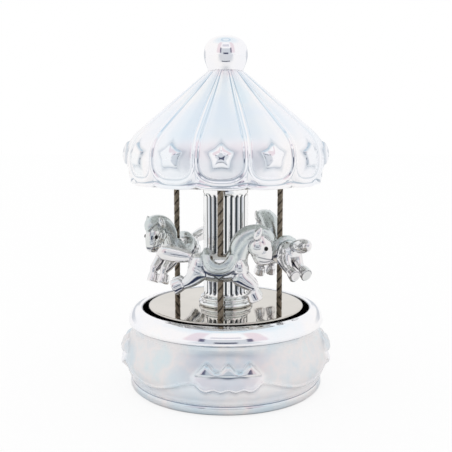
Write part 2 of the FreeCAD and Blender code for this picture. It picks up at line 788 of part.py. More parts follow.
# music cylinder with its axle, bevel pinion and wheel
cylinder_axle = axle("cylinder_arbor", "cylinder_axle", "crown_inner", OUTER_BEARING_END, "0", "axle_height")
pinion_corners = toothed(int(value("pinion_teeth")), pinion_radius, tooth_rise, tooth_fall, tooth_share,
                         -90 + 180 / value("pinion_teeth"))
pinion_solid = Part.makeLoft([shrunk(pinion_corners, crown_outer * shrink), shrunk(pinion_corners, crown_outer)],
                             True, True)
drive_pinion = cut("drive_pinion", made("pinion_solid", pinion_solid),
                   axle("pinion_bore", "cylinder_axle + fixed_gap", "crown_inner", "crown_outer", "0", "axle_height"))

cylinder_tube = axle("cylinder_tube", "cylinder_radius", "cylinder_start", CYLINDER_END, "0", "axle_height")
cylinder_bore = axle("cylinder_bore", "cylinder_axle + fixed_gap", "cylinder_start", CYLINDER_END, "0", "axle_height")
pins = []
pin_count = 3 * int(value("comb_teeth"))
for i in range(pin_count):
    tone = (7 * i) % int(value("comb_teeth"))
    station = value(f"cylinder_start + cylinder_length * ({tone} + 0.5) / comb_teeth")
    angle = 2 * math.pi * i / pin_count
    out = V(0, math.cos(angle), math.sin(angle))
    pins.append(Part.makeCylinder(value("pin_radius"), 2 * value("pin_height"),
                                  V(station, 0, apex) + out * value("cylinder_radius - pin_height"), out))
music_cylinder = fuse("music_cylinder", cut("cylinder_sleeve", cylinder_tube, cylinder_bore),
                      made("pins", Part.makeCompound(pins)))

spur_pitch = 2 * math.pi * value("wheel_radius") / value("wheel_teeth")
spur = (0.24 * spur_pitch, 0.36 * spur_pitch, 0.38)
wheel_start = value(WHEEL_START)
wheel_thick = value("wheel_thick")
cylinder_wheel = made("cylinder_wheel", wheel(
    toothed(int(value("wheel_teeth")), value("wheel_radius"), *spur, 0),
    wheel_start, wheel_thick, value("cylinder_axle + fixed_gap"), 0, apex))

# governor: idler on a second axle, then a worm that spins the air brake
idler_side = value(IDLER_SIDE)
idler_bore = value("idler_axle + fixed_gap")
idler_arbor = axle("idler_arbor", "idler_axle", "idler_start", OUTER_BEARING_END, IDLER_SIDE, "axle_height")
idler_pinion = made("idler_pinion", wheel(
    toothed(int(value("idler_teeth")), value(IDLER_RADIUS), *spur, 180 + 180 / value("idler_teeth")),
    wheel_start, wheel_thick, idler_bore, idler_side, apex))

worm_pitch = 2 * math.pi * value("worm_wheel_radius") / value("worm_wheel_teeth")
worm_rise, worm_fall = 0.25 * worm_pitch, 0.35 * worm_pitch
worm_wheel = made("worm_wheel", wheel(
    toothed(int(value("worm_wheel_teeth")), value("worm_wheel_radius"), worm_rise, worm_fall, 0.36, 0),
    value("worm_station - worm_wheel_thick / 2"), value("worm_wheel_thick"), idler_bore, idler_side, apex))

worm_turns = int(value("worm_turns"))
worm_radius = value("worm_radius")
thread_path = Part.Wire(Part.makeHelix(worm_pitch, worm_pitch * worm_turns, worm_radius).Edges)
thread_corners = []
for radius, half in ((-worm_fall - 0.1, 0.27), (worm_rise, 0.09), (worm_rise, -0.09), (-worm_fall - 0.1, -0.27)):
    thread_corners.append(V(worm_radius + radius, 0, half * worm_pitch))
thread = thread_path.makePipeShell([closed_wire(thread_corners)], True, True)
worm_side = value(WORM_SIDE)
thread.translate(V(value("worm_station"), worm_side, apex - worm_pitch * (worm_turns // 2 + 0.25)))
worm_core = rod("worm_core", f"worm_radius - {worm_fall}", f"axle_height - {worm_pitch * (worm_turns / 2 + 0.8)}",
                f"axle_height + {worm_pitch * (worm_turns / 2 + 0.3)}", "worm_station", WORM_SIDE)
FLY_LOW = "frame_top + 6 * running_gap"
FLY_HIGH = FLY_LOW + " + fly_height"
fly_spindle = rod("fly_spindle", "fly_axle", "fly_low", FLY_HIGH + " + 2 * running_gap", "worm_station", WORM_SIDE)
worm_shaft = fuse("worm_shaft", fly_spindle, worm_core, made("worm_thread", thread))
fly_hub = rod("fly_hub", "fly_hub", FLY_LOW, FLY_HIGH, "worm_station", WORM_SIDE)
fly_blade = block("fly_blade", ("worm_station - fly_reach", "worm_station + fly_reach"),
                  (f"{WORM_SIDE} - fly_thick / 2", f"{WORM_SIDE} + fly_thick / 2"), (FLY_LOW, FLY_HIGH))
fly_vanes = cut("fly_vanes", fuse("fly_solid", fly_hub, fly_blade),
                rod("fly_bore", "fly_axle + fixed_gap", FLY_LOW, FLY_HIGH, "worm_station", WORM_SIDE))

# turntable
POLE_ANGLES = [f"({i} * 360 / pole_count - show_turn - 90)" for i in range(int(value("pole_count")))]
ROD_HOLE = "rod_radius + fixed_gap"
turntable_hub = turned("turntable_hub", [
    (ROD_HOLE, BOSS_TOP),
    ("hub_radius - 1", BOSS_TOP),
    ("hub_radius - 1", DISC_LOW + " - 2"),
    ("hub_radius + 3", DISC_LOW + " - 1"),
    ("hub_radius + 3", DISC_LOW),
    (ROD_HOLE, DISC_LOW),
])
tenon_holes, ceiling_holes, nuts = [], [], []
for angle in POLE_ANGLES:
    x, y = around("pole_circle", angle)
    tenon_holes.append(rod("tenon_hole", "pole_tenon + fixed_gap", DISC_LOW, DISC_TOP, x, y))
    ceiling_holes.append(rod("ceiling_hole", "pole_tenon + fixed_gap", "column_top", CEILING_TOP, x, y))
    for low in (DISC_LOW + " - nut_height", CEILING_TOP):
        hexagon = doc.addObject("Part::Prism", "hexagon")
        hexagon.Polygon = 6
        bind(hexagon, Circumradius="nut_across", Height="nut_height")
        place(hexagon, x, y, low)
        nuts.append(cut("nut", hexagon, rod("nut_hole", "pole_tenon + fixed_gap", low, low + " + nut_height", x, y)))
pole_nuts = group("pole_nuts", nuts)

disc_turned = turned("disc_turned", [
    (ROD_HOLE, DISC_LOW),
    ("disc_radius - 0.3", DISC_LOW),
    ("disc_radius", DISC_LOW + " + 0.3"),
    ("disc_radius", DISC_TOP + " - 0.3"),
    ("disc_radius - 0.3", DISC_TOP),
    (ROD_HOLE, DISC_TOP),
])
turntable_disc = cut("turntable_disc", disc_turned, *tenon_holes)
tie_rod = rod("tie_rod", "rod_radius", POST_TOP + " + fixed_gap", "canopy_top + finial_thread - 0.5")

# column: moulded foot, fluted shaft
PLINTH_TOP = DISC_TOP + " + plinth_low + plinth_neck + plinth_bead + plinth_neck"
column_foot = turned("column_foot", [
    (ROD_HOLE, DISC_TOP),
    ("plinth_radius - plinth_set", DISC_TOP),
    ("plinth_radius - plinth_set", DISC_TOP + " + plinth_low"),
    ("plinth_bead_radius - plinth_set", DISC_TOP + " + plinth_low"),
    ("plinth_bead_radius - plinth_set", DISC_TOP + " + plinth_low + plinth_neck"),
    ("plinth_bead_radius - plinth_set", DISC_TOP + " + plinth_low + plinth_neck + plinth_bead"),
    ("column_radius + 0.3", DISC_TOP + " + plinth_low + plinth_neck + plinth_bead"),
    ("column_radius + 0.3", PLINTH_TOP),
    ("column_bore - fixed_gap", PLINTH_TOP),
    ("column_bore - fixed_gap", PLINTH_TOP + " + spigot_height"),
    (ROD_HOLE, PLINTH_TOP + " + spigot_height"),
], {1: ("(plinth_low ^ 2 / 4 + plinth_set ^ 2) / (2 * plinth_set)", 1),
    4: ("(plinth_bead ^ 2 / 4 + plinth_set ^ 2) / (2 * plinth_set)", 1)})
column_tube = turned("column_tube", [
    ("column_bore", PLINTH_TOP),
    ("column_radius", PLINTH_TOP),
    ("column_radius", "capital_low"),
    ("capital_radius", "capital_low + 0.4"),
    ("capital_radius", "column_top"),
    ("column_bore", "column_top"),
])
flutes = []
for i in range(int(value("flute_count"))):
    x, y = around("column_radius - flute_depth + flute_radius", f"({i} + 0.5) * 360 / flute_count")
    flutes.append(rod("flute", "flute_radius", PLINTH_TOP + " + 0.8", "capital_low - 0.6", x, y))
column_shaft = cut("column_shaft", column_tube, *flutes)

# poles that stand on the disc, with a tenon at each end
poles = []
for i, angle in enumerate(POLE_ANGLES):
    pole = turned(f"pole_{i + 1}", [
        ("0", DISC_LOW + " - nut_height - tenon_spare"),
        ("pole_tenon", DISC_LOW + " - nut_height - tenon_spare"),
        ("pole_tenon", DISC_TOP),
        ("pole_radius", DISC_TOP),
        ("pole_radius", "column_top"),
        ("pole_tenon", "column_top"),
        ("pole_tenon", CEILING_TOP + " + nut_height + tenon_spare"),
        ("0", CEILING_TOP + " + nut_height + tenon_spare"),
    ])
    poles.append(place(pole, *around("pole_circle", angle), "0"))

ceiling_turned = turned("ceiling_turned", [
    (ROD_HOLE, "column_top"),
    ("ceiling_radius", "column_top"),
    ("ceiling_radius", CEILING_TOP),
    (ROD_HOLE, CEILING_TOP),
])
ceiling_plate = cut("ceiling_plate", ceiling_turned, *ceiling_holes)

# canopy: swelling panels with a raised rib between each pair
lobes = int(value("lobe_count"))
lobe_step = 2 * math.pi / lobes
front = math.radians(value("-90 - canopy_turn"))
wide = value("canopy_wide")


def spoke(radius, angle, z):
    return V(radius * math.cos(angle), radius * math.sin(angle), z)


def canopy_ring(radius, z):
    """Closed ring of panel arcs and rib arcs at one height."""
    share = radius / wide
    swell = value("lobe_swell") * share
    rise = value("rib_rise") * (0.35 + 0.65 * share)
    half = lobe_step * (0.5 - value("rib_share") / 2)
    edges = []
    for i in range(lobes):
        middle = front + i * lobe_step
        start, end = spoke(radius - swell, middle - half, z), spoke(radius - swell, middle + half, z)
        edges.append(Part.Arc(start, spoke(radius, middle, z), end).toShape())
        after = spoke(radius - swell, middle + lobe_step - half, z)
        crest = spoke(radius - swell + rise, middle + lobe_step / 2, z)
        edges.append(Part.Arc(end, crest, after).toShape())
    return Part.Wire(edges)


canopy_rings = []
for share in (0, 0.12, 0.35, 0.65, 0.88, 1):
    canopy_rings.append((value(f"canopy_neck + (canopy_eave - canopy_neck) * {share}"),
                         value(f"canopy_top + (canopy_eave_height - canopy_top) * {share}")))
canopy_rings += [
    (value("canopy_bend"), value("canopy_bend_height")),
    (wide, value("canopy_wide_height")),
    (value("canopy_skirt"), value("canopy_skirt_height")),
    (value("canopy_lip"), value("canopy_low")),
]
canopy_solid = Part.makeLoft([canopy_ring(radius, z) for radius, z in canopy_rings], True, False)

wall = value("canopy_wall")
swell = value("lobe_swell")
seat = value("ceiling_radius + ceiling_gap")
ceiling_top = value(CEILING_TOP)
ring = value("ledge_ring")
hollow_points = [
    V(0, 0, value("canopy_low") - 1),
    V(seat, 0, value("canopy_low") - 1),
    V(seat, 0, ceiling_top),
    V(seat - ring, 0, ceiling_top),
    V(seat - ring, 0, ceiling_top + ring),
    V(value("canopy_skirt") - wall - swell, 0, value("canopy_skirt_height")),
    V(wide - wall - swell, 0, value("canopy_wide_height - 0.4")),
    V(value("canopy_bend") - wall - swell, 0, value("canopy_bend_height") - 0.6 * wall),
    V(value("canopy_eave") - wall - 0.5 * swell, 0, value("canopy_eave_height") - 0.8 * wall),
    V(value("canopy_neck"), 0, value("canopy_top") - 1.6 * wall),
    V(0, 0, value("canopy_top") - 1.6 * wall),
]
hollow = Part.Face(closed_wire(hollow_points)).revolve(V(0, 0, 0), V(0, 0, 1), 360)

stars, notches = [], []
star_height = value("star_height")
star_lean = math.atan2(wide - value("canopy_bend"), value("canopy_bend_height - canopy_wide_height")) / 2
star_corners = []
for k in range(10):
    reach = value("star_radius") if k % 2 == 0 else value("star_waist")
    angle = math.pi / 2 + k * math.pi / 5
    star_corners.append((reach * math.cos(angle), reach * math.sin(angle)))
for i in range(lobes):
    rings = []
    for depth, size in ((-1.4, 1.1), (0.4, 1.0), (value("star_rise"), 0.62)):
        rings.append(closed_wire([V(size * a, -depth, size * b) for a, b in star_corners]))
    star = Part.makeLoft(rings, True, True)
    star.rotate(V(0, 0, 0), V(1, 0, 0), -math.degrees(star_lean))
    star.translate(V(0, -wide, star_height))
    star.rotate(V(0, 0, 0), V(0, 0, 1), 90 + math.degrees(front) + i * 360 / lobes)
    stars.append(star)
    rib = front + (i + 0.5) * lobe_step
    middle = spoke(seat - 4, rib, value("canopy_low + lip_wave - lip_notch"))
    notches.append(Part.makeCylinder(value("lip_notch"), 10, middle, spoke(1, rib, 0)))
rod_hole = Part.makeCylinder(value(ROD_HOLE), 20, V(0, 0, value("canopy_top") - 15))
canopy = made("canopy", canopy_solid.fuse(stars).cut([hollow, rod_hole] + notches))

# finial: swells out from the neck and closes in a flatter cap
FINIAL_RADIUS = "(canopy_neck + finial_swell)"
FINIAL_WIDE_HEIGHT = "(finial_top - finial_cap)"
FINIAL_RISE = f"({FINIAL_WIDE_HEIGHT} - canopy_top)"
FINIAL_CLOSE = f"({FINIAL_RADIUS} - finial_flat)"
finial = turned("finial", [
    (ROD_HOLE, "canopy_top"),
    ("canopy_neck", "canopy_top"),
    (FINIAL_RADIUS, FINIAL_WIDE_HEIGHT),
    ("finial_flat", "finial_top"),
    ("0", "finial_top"),
    ("0", "canopy_top + finial_thread"),
    (ROD_HOLE, "canopy_top + finial_thread"),
], {1: (f"(finial_swell ^ 2 + {FINIAL_RISE} ^ 2) / (2 * finial_swell)", 1),
    2: (f"({FINIAL_CLOSE} ^ 2 + finial_cap ^ 2) / (2 * {FINIAL_CLOSE})", 1)})

# horses: each is one casting, lofted piece by piece and fused
length_share = value("horse_length") / 48.8
width_share = value("horse_width") / 10.6


def horse_spot(x, y, z):
    return V(x * length_share, y * width_share, z * length_share)


def limb(stations, side=0.0):
    """Rounded limb through (x, z, half width, half depth) stations, shifted sideways."""
    centres = [horse_spot(x, side, z) for x, z, half, deep in stations]
    rings = []
    for i, (x, z, half, deep) in enumerate(stations):
        ahead = centres[min(i + 1, len(centres) - 1)] - centres[max(i - 1, 0)]
        ahead.normalize()
        up = ahead.cross(V(0, 1, 0))
        a, b = half * width_share, deep * length_share
        c = centres[i]
        frame = FreeCAD.Matrix(0, up.x * b, ahead.x, c.x, a, up.y * b, ahead.y, c.y,
                               0, up.z * b, ahead.z, c.z, 0, 0, 0, 1)
        rings.append(Part.Wire(Part.makeCircle(1).transformGeometry(frame).Edges))
    return Part.makeLoft(rings, True, False)


def bulge(x, z, long, half, deep):
    """Rounded mass with its own half length, half width and half depth."""
    c = horse_spot(x, 0, z)
    frame = FreeCAD.Matrix(long * length_share, 0, 0, c.x, 0, half * width_share, 0, c.y,
                           0, 0, deep * length_share, c.z, 0, 0, 0, 1)
    return Part.makeSphere(1).transformGeometry(frame)


TRUNK = [(-12.8, 3.7, 3.4, 3.9), (-8.0, 2.4, 5.4, 5.9), (-0.5, 1.3, 5.3, 6.2), (6.5, 2.1, 5.3, 6.0),
         (11.0, 3.6, 3.4, 4.2)]
RUMP = (-10.2, 3.0, 3.4, 4.7, 5.0)
CHEST = (9.0, 2.8, 2.9, 4.8, 5.4)
NECK = [(5.4, 2.4, 4.6, 5.6), (7.7, 8.4, 3.9, 4.4), (11.2, 14.0, 3.2, 3.5), (13.8, 16.2, 2.6, 2.6)]
HEAD = [(13.4, 16.4, 1.8, 2.2), (14.8, 14.4, 3.3, 4.4), (16.4, 10.4, 4.0, 5.1), (17.4, 5.7, 3.2, 3.9),
        (17.7, 2.9, 1.4, 1.7)]
MANE = [(21.4, 12.6, 0.9, 0.8), (20.4, 15.8, 2.4, 1.6), (15.9, 17.6, 3.4, 2.2), (10.2, 15.9, 3.8, 2.8),
        (6.4, 11.4, 4.1, 2.8), (6.0, 6.8, 3.4, 1.6)]
EAR = [(13.2, 14.8, 0.9, 1.0), (15.4, 16.3, 1.1, 1.6), (18.4, 17.4, 0.3, 0.4)]
FORE_UPPER = [(6.5, -0.4, 2.8, 4.2), (9.2, -2.9, 2.6, 3.4), (13.4, -5.5, 2.1, 2.4), (15.0, -6.5, 1.2, 1.4)]
FORE_LOWER = [(14.0, -5.0, 1.7, 1.9), (13.9, -8.8, 1.7, 1.8)]
FORE_HOOF = [(13.3, -8.2, 2.1, 2.3), (14.9, -11.6, 2.5, 2.8)]
HIND = [(-8.0, 2.0, 3.2, 5.2), (-11.0, -2.5, 2.7, 3.6), (-16.2, -5.6, 1.8, 1.9)]
HIND_HOOF = [(-15.6, -4.9, 2.2, 2.6), (-19.0, -6.6, 2.6, 3.2)]
TAIL = [(-11.6, 6.2, 1.6, 1.6), (-16.4, 6.9, 2.3, 2.6), (-21.0, 7.1, 2.7, 3.4), (-25.0, 8.0, 1.7, 2.1),
        (-26.4, 8.5, 0.6, 0.7)]
CANTLE = [(-5.8, 4.0, 5.9, 1.9), (-5.9, 7.0, 5.3, 1.9), (-5.7, 9.8, 2.2, 1.0)]
POMMEL = [(5.4, 4.0, 5.9, 1.9), (5.7, 7.0, 5.3, 1.9), (6.2, 10.2, 2.2, 1.0)]
SADDLE_SEAT = [(-4.0, 8.0), (-3.6, 6.4), (-2.0, 4.6), (0.0, 3.9), (2.0, 4.7), (3.6, 6.6), (4.2, 8.0)]
SADDLE_LAYERS = [
    (6.1, SADDLE_SEAT + [(7.6, 8.0), (7.8, 6.0), (7.2, 3.4), (5.8, 1.1), (3.4, -0.4), (1.6, -0.9), (-0.3, -2.6),
                         (-2.2, -0.9), (-4.2, -0.5), (-6.0, 0.6), (-7.2, 2.6), (-7.6, 5.0), (-7.6, 8.0)]),
    (6.7, SADDLE_SEAT + [(6.6, 8.0), (6.2, 5.4), (4.4, 2.8), (2.0, 1.5), (-0.2, 1.2), (-2.4, 1.4), (-4.8, 2.8),
                         (-6.4, 5.4), (-6.8, 8.0)]),
]


def saddle_layer(half, corners):
    """Flaps of one thickness on both sides, cut to their edge."""
    reach = value("horse_width")
    wire = closed_wire([horse_spot(x, 0, z) + V(0, -reach, 0) for x, z in corners])
    return limb([(x, 3.2, half, 9.6) for x in (-9, 0, 9)]).common(Part.Face(wire).extrude(V(0, 2 * reach, 0)))


horse_parts = [bulge(*RUMP), bulge(*CHEST)]
for stations in (TRUNK, NECK, HEAD, MANE, TAIL, CANTLE, POMMEL):
    horse_parts.append(limb(stations))
for side in (-1, 1):
    horse_parts.append(limb(EAR, 3.1 * side))
    for stations in (FORE_UPPER, FORE_LOWER, FORE_HOOF, HIND, HIND_HOOF):
        horse_parts.append(limb(stations, 3.0 * side))
for half, corners in SADDLE_LAYERS:
    horse_parts.append(saddle_layer(half, corners))
pole_way = Part.makeCylinder(value("pole_radius + fixed_gap"), 80, V(0, 0, -40))
horse_solid = horse_parts[0].fuse(horse_parts[1:]).cut(pole_way)
horses = []
for i, angle in enumerate(POLE_ANGLES):
    horse = made(f"horse_{i + 1}", horse_solid)
    turn = value(angle)
    where = V(*[value(text) for text in around("pole_circle", angle)], value("horse_rise"))
    horse.Placement = FreeCAD.Placement(where, FreeCAD.Rotation(V(0, 0, 1), turn + 90))
    horses.append(horse)

NODES = [
    base_shell, bottom_cover, cover_screws, felt_ring, bedplate, movement_screws, comb, comb_screws,
    inner_bracket, outer_bracket, idler_bracket, governor_frame, clutch_spring,
    spring_barrel, barrel_cap, mainspring, turntable_hub, turntable_disc, tie_rod, column_foot, column_shaft,
    *poles, pole_nuts, *horses, ceiling_plate, canopy, finial,
    winding_arbor, wind_key,
    cylinder_axle, drive_pinion, music_cylinder, cylinder_wheel,
    idler_arbor, idler_pinion, worm_wheel,
    worm_shaft, fly_vanes,
]

doc.recompute()
for item in doc.Objects:
    if "Invalid" in item.State or "Error" in item.State:
        raise RuntimeError(f"{item.Label} did not build: {item.State}")
for item in NODES:
    if item.Shape.isNull() or not item.Shape.isValid():
        raise RuntimeError(f"{item.Label} has no valid shape")

os.makedirs("parts", exist_ok=True)
for item in NODES:
    item.Shape.exportStep(f"parts/{item.Label}.step")
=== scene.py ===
import math
from bisect import bisect

import bmesh
import bpy
from mathutils import Matrix, Vector
from mathutils.bvhtree import BVHTree
from mathutils.geometry import interpolate_bezier


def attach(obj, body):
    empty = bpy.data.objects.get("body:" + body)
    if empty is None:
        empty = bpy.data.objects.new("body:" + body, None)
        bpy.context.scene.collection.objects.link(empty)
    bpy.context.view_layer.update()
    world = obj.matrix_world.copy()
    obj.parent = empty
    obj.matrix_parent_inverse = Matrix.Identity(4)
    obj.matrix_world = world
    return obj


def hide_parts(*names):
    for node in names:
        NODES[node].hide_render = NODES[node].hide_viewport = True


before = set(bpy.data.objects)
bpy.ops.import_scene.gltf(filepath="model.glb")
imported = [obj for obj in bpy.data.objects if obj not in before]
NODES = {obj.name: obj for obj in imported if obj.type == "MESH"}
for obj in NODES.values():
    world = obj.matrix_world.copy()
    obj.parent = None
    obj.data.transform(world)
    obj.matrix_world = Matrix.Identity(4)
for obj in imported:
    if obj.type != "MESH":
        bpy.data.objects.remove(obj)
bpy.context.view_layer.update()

MM = 0.001
FULL_TURN = 2 * math.pi

# counts, and places that the pieces share, in millimetres and radians
LOBES = 13
LOBE_HALF = math.pi / LOBES
FLUTES = 24
LEAVES = 4
CANOPY_TURN = math.radians(-2.4)
POLE_CIRCLE = 28.0
POLE_ANGLES = [math.radians(120 * i - 4.5) for i in range(3)]
DISC_TOP = 36.6
CEILING = 94.0
HORSE_RISE = 57.0
WALL_DEPTH = 0.3  # spots deeper than this under an outline are on the inner wall


# finishes
class Value:
    """A shader value; arithmetic on it adds Math nodes."""

    def __init__(self, finish, socket):
        self.finish = finish
        self.socket = socket

    def maths(self, operation, *numbers):
        return self.finish.node("Math", {"operation": operation}, dict(enumerate(numbers)))

    def __add__(self, other):
        return self.maths("ADD", self, other)

    def __rsub__(self, other):
        return self.maths("SUBTRACT", other, self)

    def __mul__(self, other):
        return self.maths("MULTIPLY", self, other)

    __radd__ = __add__
    __rmul__ = __mul__

    def fade(self, low, high, start=0.0, end=1.0):
        """Smooth change from start at low to end at high."""
        return self.finish.node("MapRange", {"interpolation_type": "SMOOTHSTEP"},
                                {0: self, 1: low, 2: high, 3: start, 4: end})


class Finish:
    """A node tree for one finish, with its output shader at hand."""

    def __init__(self, name, tree=None):
        if tree is None:
            self.material = bpy.data.materials.new(name)
            self.material.use_nodes = True
            tree = self.material.node_tree
        self.tree = tree
        self.shader = tree.nodes.get("Principled BSDF")

    def node(self, kind, settings=None, inputs=None, output=0):
        """Adds a node with its settings and inputs, and gives one of its outputs."""
        item = self.tree.nodes.new("ShaderNode" + kind)
        for name, setting in (settings or {}).items():
            if name == "stops":
                ramp = item.color_ramp.elements
                while len(ramp) < len(setting):
                    ramp.new(0.5)
                for stop, (place, colour) in zip(ramp, setting):
                    stop.position = place
                    stop.color = (*colour, 1)
            else:
                setattr(item, name, setting)
        for key, source in (inputs or {}).items():
            self.feed(item.inputs[key], source)
        return Value(self, item.outputs[output])

    def feed(self, socket, source):
        if isinstance(source, Value):
            self.tree.links.new(source.socket, socket)
        elif socket.type == "RGBA":
            socket.default_value = (*source, 1)
        else:
            socket.default_value = source

    def set(self, **inputs):
        """Feeds inputs of the shader, named as they are but in lower case with underscores."""
        for name, source in inputs.items():
            self.feed(self.shader.inputs[name.replace("_", " ").title().replace("Ior", "IOR")], source)

    def place(self):
        """Place on the object, in metres."""
        return self.node("TexCoord", output=3)

    def split(self, vector):
        item = self.node("SeparateXYZ", inputs={0: vector}).socket.node
        return [Value(self, socket) for socket in item.outputs]

    def rays(self, kind):
        """1 for rays of this kind, 0 for others."""
        return Value(self, self.node("LightPath").socket.node.outputs[kind])

    def attribute(self, name):
        return self.node("Attribute", {"attribute_name": name}, output=2)

    def painted_shade(self):
        """Painted shade: where the plate is painted dark, in creases and beside raised forms."""
        return self.attribute("crease") + self.attribute("shade")

    def clouds(self, scale, detail=2.0, roughness=0.5):
        return self.node("TexNoise", inputs={"Vector": self.place(), "Scale": scale, "Detail": detail,
                                             "Roughness": roughness})

    def ramp(self, value, *stops):
        return self.node("ValToRGB", {"stops": stops}, {0: value})

    def blend(self, factor, first, second):
        item = self.node("Mix", {"data_type": "RGBA"}).socket.node
        for key, source in ((0, factor), (6, first), (7, second)):
            self.feed(item.inputs[key], source)
        return Value(self, item.outputs[2])

    def bump(self, height, strength, depth):
        return self.node("Bump", inputs={"Height": height, "Strength": strength, "Distance": depth})


CLOUD_SCALE = 38
GRAIN_SCALE = 900
SATIN_ROUGHNESS = 0.32
BELLY_SATIN_ROUGHNESS = 0.28
TONED_ROUGHNESS = 0.20
PEARL_TINTS = ((0.30, (0.89, 0.93, 0.97)), (0.48, (0.94, 0.94, 0.97)), (0.62, (0.98, 0.96, 0.96)),
               (0.74, (0.92, 0.96, 0.98)))
# the belly's tints, greyer than the pearl ones as painted shade and reflection
BELLY_SHADED_TINTS = ((0.30, (0.63, 0.73, 0.80)), (0.46, (0.70, 0.75, 0.79)), (0.58, (0.82, 0.79, 0.79)),
               (0.72, (0.69, 0.78, 0.81)))
CHROME_TINTS = ((0.30, (0.80, 0.83, 0.83)), (0.50, (0.90, 0.90, 0.91)), (0.70, (0.86, 0.88, 0.90)))
HORSE_TINTS = ((0.30, (0.64, 0.69, 0.67)), (0.50, (0.86, 0.84, 0.84)), (0.70, (0.76, 0.79, 0.81)))
BRONZE_TINTS = ((0.35, (0.15, 0.120, 0.085)), (0.65, (0.29, 0.245, 0.19)))
MIRROR_TINTS = ((0.35, (0.62, 0.59, 0.54)), (0.7, (0.69, 0.65, 0.60)))
BLACK_TINTS = ((0.3, (0.004, 0.004, 0.004)), (0.7, (0.012, 0.012, 0.012)))
TONED_TINT = (0.64, 0.69, 0.69)
# colours of the painted shade in creases and beside raised forms, and of painted dark lines
PEARL_CREASE_SHADE = (0.50, 0.57, 0.64)
CHROME_CREASE_SHADE = (0.20, 0.24, 0.30)
HORSE_CREASE_SHADE = (0.03, 0.04, 0.08)
BASE_CREASE_SHADE = (0.12, 0.15, 0.22)
# painted shade on the base's inner wall
BASE_INSIDE_SHADE = (0.008, 0.008, 0.008)
# plate on the flute ridges, and painted shade in the flutes
FLUTE_RIDGE, FLUTE_VALLEY_SHADE = (0.96, 0.96, 0.96), (0.05, 0.06, 0.07)
# painted shade in the twist grooves of the poles
POLE_GROOVE_SHADE = (0.02, 0.015, 0.012)
# dark and light colour, metallic, roughness and scale of the grain
PLAIN_FINISHES = {
    "steel": ((0.52, 0.53, 0.55), (0.66, 0.67, 0.69), 1.0, 0.25, 700),
    "zinc": ((0.46, 0.46, 0.47), (0.60, 0.60, 0.61), 1.0, 0.38, 500),
    "spring_steel": ((0.16, 0.18, 0.24), (0.30, 0.32, 0.40), 1.0, 0.25, 400),
    "brass": ((0.66, 0.50, 0.20), (0.80, 0.64, 0.32), 1.0, 0.20, 500),
    "nylon": ((0.82, 0.81, 0.76), (0.90, 0.89, 0.84), 0.0, 0.42, 300),
    "plastic": ((0.020, 0.020, 0.022), (0.038, 0.038, 0.041), 0.0, 0.45, 1400),
    "felt": ((0.035, 0.040, 0.085), (0.085, 0.095, 0.165), 0.0, 0.9, 1800),
    "ceiling": ((0.78, 0.81, 0.79), (0.88, 0.90, 0.88), 0.0, 0.50, 300),
    "nickel": ((0.70, 0.68, 0.62), (0.80, 0.78, 0.72), 1.0, 0.18, 400),
}


def silver(name, tints, dark, roughness, spread):
    """Bright plate with faint clouds of colour and painted shade in its creases and beside raised forms; its satin
    places are less polished.
    """
    finish = Finish(name)
    clouds = finish.clouds(CLOUD_SCALE, 3.0)
    polish = roughness + spread * finish.clouds(GRAIN_SCALE)
    finish.set(base_color=finish.blend(finish.painted_shade(), finish.ramp(clouds, *tints), dark), metallic=1.0,
               roughness=polish + SATIN_ROUGHNESS * finish.attribute("satin"))
    return finish.material


def horse_silver():
    """Bright plate with painted navy shade in its creases and painted dark lines; mane and saddle are toned and less
    polished.
    """
    finish = Finish("silver_plate_horse")
    body = finish.ramp(finish.clouds(CLOUD_SCALE, 3.0), *HORSE_TINTS)
    toned = finish.attribute("toned")
    plate = finish.blend(0.85 * toned, body, TONED_TINT)
    finish.set(base_color=finish.blend(finish.attribute("crease"), plate, HORSE_CREASE_SHADE), metallic=1.0,
               roughness=0.05 + 0.06 * finish.clouds(GRAIN_SCALE) + TONED_ROUGHNESS * toned)
    return finish.material


def base_silver():
    """Plate painted greyer on the belly as shade and reflection, and lighter as highlight on the shoulder, the apron
    and the cove under the swag; painted shade in its creases and under the crests; the inner wall is painted
    near-black as shade.
    """
    finish = Finish("silver_plate_base")
    height = finish.split(finish.place())[2]
    clouds = finish.clouds(45, 4.0, 0.6)
    # painted highlight: the shoulder and the places marked bright get the lighter pearl tints
    bright = height.fade(0.0290, 0.0300) + finish.attribute("bright")
    plate = finish.blend(bright, finish.ramp(clouds, *BELLY_SHADED_TINTS), finish.ramp(clouds, *PEARL_TINTS))
    inside = finish.attribute("inside")
    # painted shade: the inner wall is near-black and not metallic
    plate = finish.blend(inside, plate, BASE_INSIDE_SHADE)
    finish.set(base_color=finish.blend(finish.painted_shade(), plate, BASE_CREASE_SHADE), metallic=1.0 - inside,
               roughness=0.05 + 0.06 * finish.clouds(GRAIN_SCALE) + BELLY_SATIN_ROUGHNESS * finish.attribute("satin"))
    return finish.material


def fluted_silver():
    """Plate of the column, with painted shade in the flutes."""
    finish = Finish("silver_plate_fluted")
    x, y, z = finish.split(finish.place())
    turn = finish.node("Math", {"operation": "ARCTAN2"}, {0: y, 1: x})
    wave = finish.node("Math", {"operation": "COSINE"}, {0: turn * FLUTES})
    # painted shade in the flutes, stopping at their ends
    valley_shade = wave.fade(-0.30, 0.75) * z.fade(0.0865, 0.0872, 1.0, 0.0) * z.fade(0.0415, 0.0425)
    finish.set(base_color=finish.blend(valley_shade, FLUTE_RIDGE, FLUTE_VALLEY_SHADE), metallic=1.0,
               roughness=0.06 + 0.06 * finish.clouds(GRAIN_SCALE))
    return finish.material


def bronze():
    finish = Finish("pole_bronze")
    grain = finish.clouds(1500, 3.0)
    brown = finish.ramp(grain, *BRONZE_TINTS)
    # painted shade in the twist grooves
    finish.set(base_color=finish.blend(finish.attribute("crease"), brown, POLE_GROOVE_SHADE), metallic=0.75,
               roughness=0.30 + 0.25 * grain)
    return finish.material


